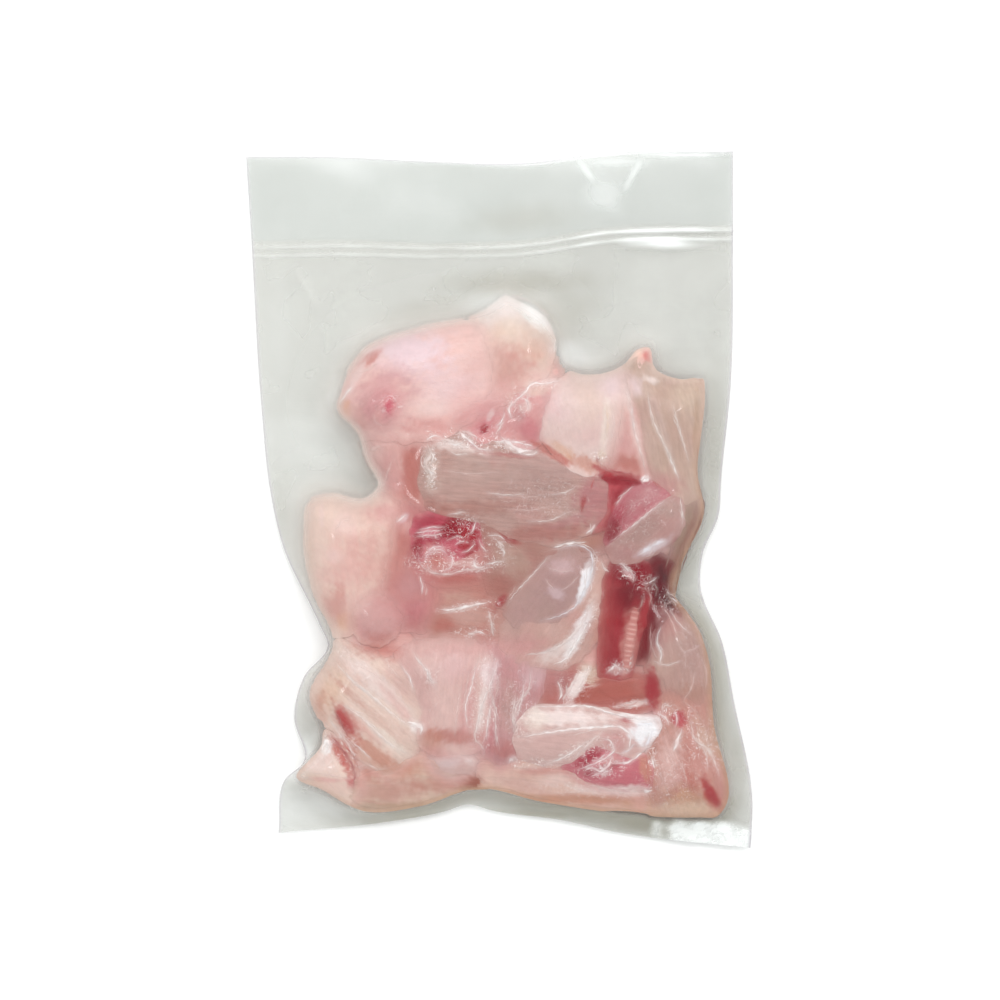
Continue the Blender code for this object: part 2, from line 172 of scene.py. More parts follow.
# How the lower ply is drawn
UNDER_FISH = 0.15 * MM
PLIES_APART = 0.3 * MM
BACK_WIDE_ROUNDS = 4
BACK_ROUNDS = 8
BACK_PULL = 0.01 * MM

# Fish
SURFACE_LIFT = 0.9 * MM
SIDE_ROUND = 15.0 * MM
SIDE_SHAPE = 1.9
GAP_FLOOR = 14.5 * MM
FOOT = 0.35 * MM
FOOT_CREASE = 6.0 * MM
FOOT_SHOULDER = 3.6
MIDDLE_SHARE = 0.4
CRAG_HEIGHT = 0.6 * MM
CRAG_SIZE = 13 * MM
FOOT_CRAG = 0.3 * MM
FOOT_RIM = 9.0 * MM
FLAKE_DEPTH = 1.1 * MM
FLAKE_WAVER = 0.7 * MM
FISH_MARGIN = 0.4 * MM
RIM_STEP = 0.58 * MM
RING_STEP = 0.47 * MM
FIELD_STEP = 0.6 * MM
FIELD_MARGIN = 3.0 * MM

# A chunk's rings of points close up towards its rim, and this many lie below it
RINGS_CLOSE_UP = 1.35
RINGS_BELOW = 7

# A chunk's outline: how straight it runs between its points, and how ragged it is
OUTLINE_STRAIGHT = 0.6
OUTLINE_RAGGED = 0.010
OUTLINE_WAVES = range(5, 26, 3)
CURVE_POINTS = 900
BEARINGS = 721

# Tones as 0 to 255 display values, and how they are turned into linear colours. White, above 255,
# serves for white tissue and for painted highlights
PALETTE = {name: tone for name, *tone in rows("""
    pale 238 218 212, rosy 228 188 181, pink 218 160 162, magenta 205 106 122,
    salmon 204 138 128, brick 194 108 96, beige 210 181 168, mauve 202 168 166,
    cream 233 214 196, peach 227 186 158, tan 205 170 138, blood 176 46 64, dark 122 24 44,
    red 194 78 80, white 262 263 261, membrane 246 240 236, silver 246 250 255,
    lilac 240 224 229, crimson 160 26 52, maroon 100 14 38, brown 152 112 96, grey 188 172 166""")}
TONE_GAIN = np.array((0.72, 0.615, 0.61))
MID_PINK = np.array((0.60, 0.37, 0.33))
CONTRAST = 1.22

# How much a chunk's tone drifts towards the two
DRIFT_TO_PALE = 0.15
DRIFT_TO_PINK = 0.18

# Outlines and colour ovals are in picture points, top, spread and flake in millimetres, and the
# grain in degrees from +X. A large shoulder turns a chunk's top down squarely at its edge. The
# spread is how far it reaches under its neighbours. Each oval is its middle, two half-lengths,
# turn, tone, strength and how soft its edge is. Most ovals are the flesh's own marks. The lilac
# ones and the white rim on the top left, the lilac one on the cheek, the silver ones on the lower
# wedge, the oval's right edge and the silver skin's right end, and the light ones on the left tip
# and the notch bump are painted highlights; the white ones on the crown are partly white tissue and
# partly painted highlights; the salmon streaks below the lower left's flake bands are painted
# shade.
Chunk = namedtuple("Chunk", "name top shoulder spread grain flake tone outline stains")
CHUNKS = (
    Chunk("top_left", 22.8, 2.8, 2.5, 8, 0, "pale+rosy", """
        336 421 343 400 352 375 362 345 383 331 412 326 442 322 470 326 486 352 484 390
        470 418 442 434 415 437 385 437 354 433""", """
        410 352 40 26 0 lilac .8 .7, 450 388 36 26 0 lilac .4 .9, 366 345 12 9 -30 white .6 .7,
        370 359 15 6 -40 salmon .75 .5, 384 400 38 30 -40 pink+mauve .75 .7,
        355 379 22 5 -58 white+rosy .8 .5, 343 415 7 15 10 peach .85 .6,
        357 424 12 8 10 salmon .5 .6, 440 427 40 11 0 salmon+pink .55 .8,
        428 408 24 10 0 pale .5 .8, 470 405 22 18 0 rosy .5 .8, 378 426 4 1.6 10 blood .7 .5"""),
    Chunk("crown", 20.5, 2.6, 2, 70, 0, "pale+cream", """
        470 328 480 304 497 293 516 293 535 305 549 325 552 345 547 368 530 388 505 402
        485 400 474 370""", """
        505 311 30 16 0 white+pale .7 .8, 532 314 25 8 42 white .6 .7,
        482 318 14 14 0 white+pale .5 .8, 508 330 14 12 0 cream .5 .8,
        533 350 20 14 20 peach+rosy .5 .8, 503 370 30 24 0 salmon+rosy .65 .8,
        495 392 24 14 0 pink+rosy .5 .8, 553 350 5 5 0 white .8 .5"""),
    Chunk("throat", 21.5, 2.8, 1, 20, 0, "rosy+pink", """
        432 432 440 400 470 390 500 388 524 390 514 408 505 428 506 441 486 447 466 440
        448 442""", """
        484 424 18 12 -20 magenta+pink .6 .7, 484 429 4.5 6 10 blood .95 .5,
        450 424 22 9 0 salmon+pink .5 .8, 505 402 22 16 0 pink+mauve .6 .8,
        490 416 7 3 -60 membrane .6 .5"""),
    Chunk("nodule", 24.4, 2.2, 0, 35, 0, "pink+mauve", """
        352 398 366 380 388 374 406 384 414 404 408 424 390 434 368 432 354 418""", """
        398 400 13 10 0 pink .5 .7, 392 406 6 11 15 magenta .95 .5,
        398 394 3.5 3 0 crimson 1 .4, 366 404 12 14 0 pink+mauve .6 .8,
        378 418 5 10 20 rosy .5 .6"""),
    Chunk("neck", 16.8, 3, 3.5, 100, 0, "rosy", """
        356 432 392 428 428 434 438 460 436 490 425 512 400 514 380 503 370 478 360 452""", """
        413 470 46 13 92 brick+salmon .8 .6, 417 440 9 10 0 red .5 .6,
        390 470 34 14 80 rosy+pink .5 .8, 376 450 10 12 0 pale+rosy .6 .7,
        366 478 28 6 70 beige+tan .6 .6, 408 502 20 9 15 salmon .7 .6"""),
    Chunk("slab", 25.2, 4.2, .5, -5, 0, "beige+rosy", """
        424 446 443 438 462 431 482 446 504 441 530 449 560 460 590 472 606 484 604 510
        590 532 556 545 520 540 486 524 450 515 426 508 420 478""", """
        452 446 34 6 10 membrane+pale .75 .6, 432 468 24 9 87 pale+cream .7 .6,
        470 458 22 7 22 pale+beige .6 .7, 508 441 15 4 10 membrane .8 .5,
        521 449 16 3 5 membrane .7 .5, 515 456 22 3 5 red+salmon .6 .5,
        476 446 10 4 30 red+pink .55 .5, 540 478 50 26 0 mauve+beige .7 .8,
        478 474 44 12 0 pale+beige .5 .8, 430 508 22 12 0 salmon .55 .7,
        470 508 50 8 -3 brick+beige .5 .8, 545 533 50 10 -4 salmon .65 .7,
        596 500 22 26 0 pink+magenta .6 .8, 582 505 2.5 8 12 red .7 .5,
        570 520 24 5 -20 pink .5 .6"""),
    Chunk("fold", 25.6, 2.6, .4, 40, 0, "rosy+pink", """
        500 427 508 406 523 390 536 382 556 379 558 396 551 416 545 438 536 449 518 447
        503 441""", """
        533 432 20 12 45 magenta+pink .6 .6, 518 415 8 11 0 mauve .5 .6,
        548 406 5 17 -18 mauve .75 .5, 540 390 18 6 -10 cream+pale .7 .6,
        526 408 7 6 0 pale .5 .6, 545 440 8 6 30 brick .6 .5"""),
    Chunk("cheek", 25.6, 2.5, 1.5, 100, 0, "pale", """
        556 388 568 376 590 370 612 364 623 378 618 410 612 440 606 462 599 475 574 469
        554 453 543 438 548 412""", """
        562 405 20 18 0 lilac+pale .8 .9, 556 429 9 6 0 pale .6 .8,
        590 400 30 26 0 pale+cream .6 .9, 585 464 22 8 12 peach+salmon .7 .6,
        560 450 16 6 30 peach .6 .6, 601 455 4 4 0 cream .9 .4,
        597 460 2 3 0 brown+blood .7 .4, 610 388 12 14 0 lilac .5 .8,
        604 430 34 4 93 cream+white .6 .6"""),
    Chunk("cheek_side", 22.8, 2.8, 2, 100, 0, "rosy", """
        604 402 612 380 625 376 632 410 638 442 647 479 630 477 608 471 602 450""", """
        620 440 36 12 84 pink+rosy .7 .8, 627 464 20 9 10 salmon .85 .6,
        622 400 14 12 0 rosy+cream .5 .8, 620 476 24 4 10 blood .8 .5"""),
    Chunk("flaked_corner", 22.6, 4.5, 2, 103, 9.5, "cream+beige", """
        619 372 640 362 660 373 688 381 705 382 704 420 699 455 700 492 684 502 662 494
        646 481 634 445 625 405""", """
        660 486 24 16 10 pink .65 .8, 645 440 44 12 80 mauve+cream .5 .8,
        690 398 20 16 0 cream .7 .8, 650 380 8 4 15 white+pale .6 .7,
        632 386 10 12 0 lilac .6 .8, 672 440 44 16 78 beige .4 .8, 697 440 44 5 90 tan .5 .6"""),
    Chunk("corner_tip", 18.5, 2.8, 0, 30, 0, "pale+rosy", """
        612 374 624 358 636 347 652 343 655 356 658 373 640 380 622 382""", """
        634 353 14 8 -20 cream+peach .6 .8, 648 361 4.5 12 -8 red .95 .5,
        639 372 8 5 0 white+rosy .6 .6"""),
    Chunk("right_rim", 17.6, 3, 3, 98, 0, "beige+tan", """
        688 452 700 452 702 490 707 512 699 535 687 562 677 590 668 590 667 565 675 535
        677 500 681 470""", """
        700 500 24 8 90 rosy .5 .8, 690 545 42 6 112 salmon+tan .7 .6,
        683 548 40 5 112 brick .5 .6, 690 470 16 8 90 cream .4 .8"""),
    Chunk("upper_wedge", 23.6, 4.2, .6, 46, 0, "pink+magenta", """
        603 542 610 518 620 500 632 486 645 480 657 486 669 496 656 508 640 521 622 535
        608 548""", """
        612 527 20 9 115 crimson .85 .6, 640 500 26 12 -40 mauve+pink .6 .8,
        618 512 12 6 120 magenta .5 .7"""),
    Chunk("lower_wedge", 25.2, 4.8, .6, 38, 0, "rosy", """
        606 547 620 536 640 520 658 504 670 497 681 500 683 526 672 542 655 553 632 563
        612 562""", """
        640 528 32 14 -38 mauve+beige .7 .8, 652 547 19 5 -30 silver+mauve .9 .5,
        674 548 14 6 -60 red+crimson .7 .6, 668 508 14 10 0 cream+mauve .5 .7,
        622 552 12 8 0 rosy+pink .6 .7"""),
    Chunk("blood_gap", 22, 3.4, 2, 78, 0, "red+magenta", """
        588 474 604 462 626 466 648 480 636 496 622 514 612 536 601 548 582 538 586 510""", """
        622 482 24 5 12 crimson .9 .45, 622 494 16 9 -50 crimson .8 .6,
        607 531 17 8 100 crimson .9 .5, 595 508 24 11 90 salmon+pink .8 .7"""),
    Chunk("left_lump", 20.8, 2.6, 2.5, 98, 0, "pale+cream", """
        303 540 306 515 318 498 345 495 375 496 395 504 399 530 390 560 380 590 368 612
        350 630 333 634 321 612 308 585 303 562""", """
        352 560 30 34 10 rosy .75 .9, 320 520 18 26 0 cream+pale .6 .8,
        336 606 18 22 20 rosy+salmon .75 .8, 345 622 10 9 0 peach .6 .7,
        390 512 22 12 0 rosy+pink .7 .8, 322 515 14 3 90 pale .5 .7,
        308 570 46 5 88 cream+tan .5 .7, 345 522 12 14 0 pale .5 .9, 336 556 10 7 0 pale .5 .9"""),
    Chunk("left_inner", 22.2, 2.6, 2, 82, 0, "salmon+pink", """
        385 522 400 505 417 511 421 540 425 565 435 590 442 614 425 627 400 627 380 617
        372 597 374 565 378 540""", """
        398 545 30 14 85 brick+salmon .55 .7, 415 580 16 20 0 pink+mauve .7 .8,
        415 612 22 14 15 pink+magenta .55 .8, 383 560 34 10 85 rosy+salmon .6 .8,
        408 527 10 8 0 rosy .6 .7, 403 518 7 4 -50 lilac .7 .6"""),
    Chunk("small_bump", 22.4, 2.2, 0, 20, 0, "rosy+pink", """
        352 619 358 602 374 592 392 599 403 616 399 635 381 647 362 643 354 633""", """
        372 618 18 22 0 mauve+rosy .6 .8, 364 600 10 6 0 pale .5 .7,
        388 642 18 9 15 salmon .7 .7"""),
    Chunk("blood_block", 22.8, 3.6, .4, -6, 0, "magenta", """
        411 530 417 514 440 510 470 511 479 526 483 545 485 560 462 567 440 563 418 561
        410 545""", """
        432 522 22 8 -4 magenta+crimson .8 .6, 462 521 17 9 -8 crimson .95 .45,
        452 532 16 8 0 crimson .85 .5, 469 540 19 11 82 crimson+red .95 .4,
        418 545 16 6 95 crimson .8 .5, 428 541 14 5 5 crimson+magenta .7 .5"""),
    Chunk("ringed_piece", 22.4, 2.8, 1.4, -6, 0, "salmon+pink", """
        414 556 440 551 470 547 500 539 511 556 500 575 470 583 440 585 420 577""", """
        462 580 34 7 4 brick+salmon .7 .6, 498 556 14 14 20 beige+cream .7 .8"""),
    Chunk("centre_low", 21.2, 3, 2, -10, 0, "salmon+beige", """
        422 580 450 576 480 574 510 564 518 590 508 616 497 642 490 656 460 653 430 649
        416 630 413 600""", """
        470 582 34 9 6 brick+salmon .75 .6, 500 590 16 9 -20 brick .75 .6,
        495 604 9 6 110 red .85 .5, 446 624 13 9 0 brick+salmon .75 .6,
        440 593 30 7 0 beige+cream .5 .7, 470 615 24 10 0 rosy+beige .6 .8,
        415 605 24 14 90 pink+magenta .5 .8, 480 645 40 9 0 pink+rosy .6 .8"""),
    Chunk("centre_strip", 22.8, 3, 2, -8, 0, "beige+salmon", """
        476 514 500 530 540 543 580 538 605 530 611 548 592 556 562 560 536 580 513 606
        497 602 485 570 479 545""", """
        570 538 44 9 2 salmon+peach .6 .7, 500 548 14 20 0 rosy+beige .6 .8,
        500 585 14 12 0 salmon .6 .7, 510 538 11 4.5 28 red .9 .4,
        515 560 18 14 30 beige+cream .5 .8, 545 565 16 5 -48 brick+salmon .6 .6,
        605 553 14 8 0 rosy+mauve .6 .8"""),
    Chunk("oval", 25, 2.6, .2, 54, 0, "mauve+beige", """
        503 613 519 590 537 566 556 549 578 545 591 553 594 570 587 590 574 608 557 621
        534 628 514 627""", """
        560 585 30 26 -50 mauve .7 .9, 562 565 14 9 0 lilac+mauve .5 .7,
        556 592 9 6 20 lilac .35 .7, 584 582 20 5 104 silver+white .85 .5,
        520 612 16 16 0 rosy+mauve .6 .8, 528 572 20 7 130 salmon+mauve .4 .7"""),
    Chunk("oval_under", 23.2, 2.8, 1.2, 57, 0, "beige+rosy", """
        503 625 530 600 570 575 596 555 608 575 606 605 599 630 587 650 567 665 545 665
        520 661 502 646""", """
        580 628 36 7 120 silver+membrane .7 .6, 556 652 22 7 155 membrane .6 .7,
        520 645 26 12 0 pink+rosy .7 .8, 598 590 34 8 95 rosy+cream .6 .7,
        600 640 30 9 92 salmon+peach .5 .8, 515 620 22 12 90 beige+mauve .5 .8"""),
    Chunk("bloodline", 23.4, 3.4, .8, 81, 0, "blood+red", """
        603 580 611 562 630 554 647 564 653 584 649 606 641 630 635 655 631 675 614 678
        598 673 598 640 601 608""", """
        630 572 28 14 0 crimson .9 .6, 625 596 18 18 0 maroon+crimson .85 .7,
        606 630 52 8 92 red+salmon .5 .7, 614 620 40 10 90 crimson+red .6 .7,
        610 655 22 10 90 red+crimson .6 .7, 601 600 50 4 91 salmon+red .6 .7,
        629 642 36 9 95 rosy+salmon .8 .6, 627 573 9 3.5 50 lilac+rosy .6 .6,
        618 668 12 5 -20 rosy+membrane .6 .6"""),
    Chunk("blood_tip", 22, 2.8, 1.6, 78, 0, "blood+crimson", """
        644 566 660 556 674 566 682 594 678 616 663 624 653 642 646 660 632 660 635 630
        643 600""", """
        650 617 38 6 103 crimson+blood .9 .6, 660 585 20 9 90 maroon .9 .6,
        646 588 5 7 0 brown+dark .6 .6, 647 647 18 7 100 red+crimson .7 .7,
        664 622 20 10 80 pink+rosy .85 .7, 668 602 6 7 -20 maroon+brown .9 .5,
        680 612 8 12 0 salmon .6 .7, 674 578 16 5 100 brick+tan .6 .6"""),
    Chunk("right_mid", 21.6, 3, 3, 103, 0, "beige+rosy", """
        650 614 667 598 685 600 701 618 710 650 715 690 714 716 698 713 680 702 664 691
        651 670 645 642""", """
        655 635 24 9 90 pink+mauve .6 .8, 668 620 12 18 -20 salmon+pink .5 .8,
        690 650 14 30 0 beige+mauve .5 .8, 700 625 10 14 0 cream+rosy .5 .8,
        660 665 14 12 0 rosy+cream .6 .8, 695 695 18 16 0 salmon+tan .5 .8,
        671 604 10 8 0 pink+salmon .5 .8"""),
    Chunk("mid_strip", 22.2, 3, 1.8, 4, 0, "salmon+brick", """
        529 672 552 661 575 664 600 671 632 673 651 676 658 694 647 709 618 713 585 707
        555 707 531 702""", """
        600 692 44 7 -3 brick+salmon .7 .7, 560 680 14 18 0 mauve+pink .6 .8,
        589 671 10 13 -15 cream .8 .6, 576 686 20 6 120 membrane .8 .5,
        652 690 20 7 88 crimson+red .95 .5, 645 680 8 12 0 salmon+red .5 .7,
        632 703 18 3.5 -8 membrane .6 .5, 560 698 14 6 0 pink+brick .5 .7"""),
    Chunk("lower_left", 22.6, 3.6, 1.5, -41, 9, "pale+cream", """
        328 652 340 640 366 653 395 663 416 681 425 707 425 728 417 746 404 761 384 771
        361 757 338 731 314 712 308 694 317 672""", """
        332 690 14 26 20 peach+cream .6 .8, 318 712 10 20 10 salmon+peach .6 .7,
        402 684 22 12 60 rosy+mauve .5 .8, 376 682 50 10 42 pale+membrane .7 .6,
        364 704 52 4 42 beige+salmon .6 .6, 385 721 44 8 40 pale+cream .6 .7,
        384 736 34 6 37 membrane+cream .85 .5, 376 752 34 8 33 salmon+peach .75 .6,
        347 722 22 9 62 red+salmon .85 .8, 344 717 15 5 60 red .8 .8,
        365 726 26 6 42 rosy+salmon .5 .8, 400 706 30 5 50 rosy .5 .8,
        352 747 14 8 50 salmon+red .55 .8, 417 726 6 5 0 white .8 .6"""),
    Chunk("left_tip", 19.2, 2.8, 2.5, -50, 0, "pale+cream", """
        289 780 303 764 317 745 326 735 339 743 349 760 356 786 345 801 322 797 300 789""", """
        318 762 20 14 0 pale .8 .8, 300 781 20 9 -10 cream+peach .8 .8,
        325 779 30 2.5 2 rosy+pink .5 .7, 341 753 26 6 58 brick+red .85 .5,
        355 782 8 6 0 red+magenta .75 .6, 325 745 7 8 0 white .95 .5"""),
    Chunk("bottom_left", 19.2, 2.6, 2.2, -2, 0, "beige+cream", """
        299 785 325 780 352 777 380 766 408 752 436 748 462 758 479 772 486 790 462 797
        430 807 395 813 358 814 335 806 315 795""", """
        325 788 26 8 5 cream+peach .8 .8, 385 790 40 12 0 salmon+beige .6 .8,
        400 765 34 10 0 peach+salmon .6 .8, 470 780 16 12 10 brick+brown .75 .6,
        440 785 24 9 0 salmon+brick .5 .8, 395 808 50 6 0 tan+grey .7 .7,
        370 770 16 10 30 salmon .6 .7"""),
    Chunk("lower_mid", 23.2, 3.2, 1, 84, 11, "rosy+pale", """
        396 654 416 641 445 639 480 642 494 660 494 690 488 720 480 747 456 753 430 753
        418 737 424 707 413 681""", """
        450 665 26 14 0 lilac+rosy .5 .8, 420 690 30 16 90 mauve+rosy .5 .8,
        488 672 16 8 90 lilac+white .6 .7, 482 705 32 4 97 membrane .7 .6,
        455 735 34 8 5 salmon+brick .65 .7, 430 740 16 14 0 salmon+peach .6 .8,
        468 700 36 8 95 rosy+pink .5 .7, 425 660 14 12 0 pale .4 .8"""),
    Chunk("flake_mid", 23.2, 3.4, 1, 86, 7.5, "mauve+pink", """
        480 650 505 645 532 650 544 667 541 690 530 712 522 735 516 757 498 764 483 751
        475 727 481 690""", """
        489 670 16 9 90 lilac+white .6 .7, 508 705 30 12 90 mauve+beige .6 .8,
        486 725 26 9 90 pink+magenta .7 .7, 535 675 16 12 0 lilac+mauve .6 .8,
        505 748 16 10 0 brick+pink .6 .7, 477 747 10 6 90 magenta .4 .6"""),
    Chunk("notch_bump", 21, 2.2, .3, 10, 0, "rosy+pale", """
        428 754 446 744 465 747 478 760 472 774 452 777 435 770""", """
        448 758 16 10 0 pale+lilac .8 .7, 470 757 9 6 60 white .6 .6"""),
    Chunk("red_muscle", 22.8, 2.8, .8, -6, 0, "pink+magenta", """
        562 766 580 750 595 741 612 742 626 753 642 752 651 765 652 784 628 792 604 788
        584 782""", """
        588 756 15 9 -38 crimson+magenta .9 .55, 630 770 22 12 0 pink+magenta .6 .8,
        645 766 16 6 80 salmon+peach .8 .6, 605 742 14 8 0 pink .6 .7,
        612 758 16 6 -30 rosy .5 .7, 600 768 18 4 -15 crimson .5 .6,
        628 788 26 5 0 membrane+pale .7 .6"""),
    Chunk("silver_skin", 24.2, 4.2, .3, -6, 0, "pale+rosy", """
        513 736 523 711 540 703 570 704 600 706 630 713 657 715 661 724 651 743 632 757
        612 750 594 743 572 760 542 765 518 757""", """
        560 716 48 9 2 white+pale .85 .6, 535 718 14 12 0 white+cream .6 .7,
        545 745 34 10 4 rosy+pale .7 .7, 612 740 14 10 10 pink+rosy .7 .7,
        645 729 16 15 20 silver+white .95 .5, 633 716 16 4 8 white .7 .5,
        625 718 5 3 10 red .8 .5"""),
    Chunk("bottom_mid", 19.6, 2.8, 3.5, -5, 8, "cream+rosy", """
        484 766 510 757 540 765 575 772 610 781 648 783 663 795 661 813 625 809 585 806
        545 804 505 799 486 789""", """
        545 770 34 5 0 pink+salmon .5 .7, 555 779 30 7 -10 pale .6 .7,
        520 785 24 12 0 rosy+beige .6 .8, 575 799 78 5 0 tan+salmon .65 .7,
        610 789 44 6 3 membrane+pale .8 .6, 580 808 78 4 1 rosy+beige .5 .7,
        640 807 22 8 0 tan .6 .8"""),
    Chunk("lower_right", 22.4, 3.2, 3, 110, 12, "salmon+beige", """
        653 706 672 696 692 699 712 703 717 735 721 765 725 800 723 819 695 817 668 809
        651 796 647 775 651 750 659 725""", """
        697 757 16 30 -12 salmon+rosy .6 .8, 668 760 12 30 0 rosy+pale .8 .8,
        685 796 22 12 0 peach+tan .7 .8, 706 740 24 9 60 beige+cream .6 .7,
        678 717 9 8 0 red+magenta .9 .5, 688 811 36 11 0 cream .8 .7,
        711 795 20 7 65 red+brick .9 .55, 648 770 26 5 82 peach+salmon .85 .6,
        690 780 16 6 65 salmon+brick .5 .7, 660 712 10 8 0 rosy+pink .7 .7"""),
    Chunk("corner", 17.6, 3, 2.5, 2, 0, "cream+tan", """
        649 799 670 796 694 801 716 808 723 820 700 822 672 819 652 813""", """
        690 810 30 8 0 peach+cream .6 .8, 705 815 18 4 0 tan .6 .7"""),
)

# Colour ovals that run over several chunks. The white ones on the crown are partly white tissue and
# partly painted highlights, and the small white one by the blood gap is a painted highlight
WASHES = rows("""
    378 650 26 9 8 salmon+brick .6 .8, 550 453 26 5 30 brick+salmon .8 .5,
    634 430 50 5 77 pale .5 .8, 662 431 45 4.5 72 pale+grey .4 .8,
    501 601 9 4 -50 red+crimson .7 .6, 358 605 16 14 0 pale+rosy .45 .9,
    711 794 20 5 58 crimson+red .75 .6, 692 808 32 8 8 peach+cream .6 .8,
    474 781 9 7 0 brick+brown .7 .6, 533 315 27 8 42 white .6 .7,
    504 304 30 12 0 white+pale .6 .8, 437 559 19 14 20 rosy .5 .7,
    437 560 9 7 20 salmon+brick .6 .7, 462 563 15 5 5 membrane+rosy .5 .6,
    622 480 24 5 10 crimson .85 .5, 476 350 22 34 0 pale+rosy .5 .9,
    382 556 26 44 0 rosy+salmon .4 .9, 396 604 30 22 0 rosy+pink .35 .9,
    546 400 14 20 0 rosy+pink .3 .9, 548 380 10 10 0 pale .5 .9, 420 655 30 12 0 rosy .35 .9,
    376 762 40 10 20 peach+salmon .4 .9, 478 740 16 30 0 rosy+pink .3 .9,
    602 471 14 4 25 blood+red .7 .5, 652 690 21 7 88 crimson+red .8 .5,
    644 479 4 3 0 white .9 .4, 654 584 18 14 0 maroon+crimson .6 .8,
    505 395 40 14 -40 rosy+pink .35 .9, 470 648 60 8 0 pink+rosy .35 .9,
    436 752 20 6 10 salmon+pink .35 .9, 600 800 90 6 0 tan+salmon .35 .9""")

# The ragged edge of each colour oval: how far it strays, the size of its lumps, and what its seed
# adds
RAGGED = ((0.22, 15, 0), (0.17, 6, 50), (0.08, 3.2, 80))
STAIN_FADE = 0.6
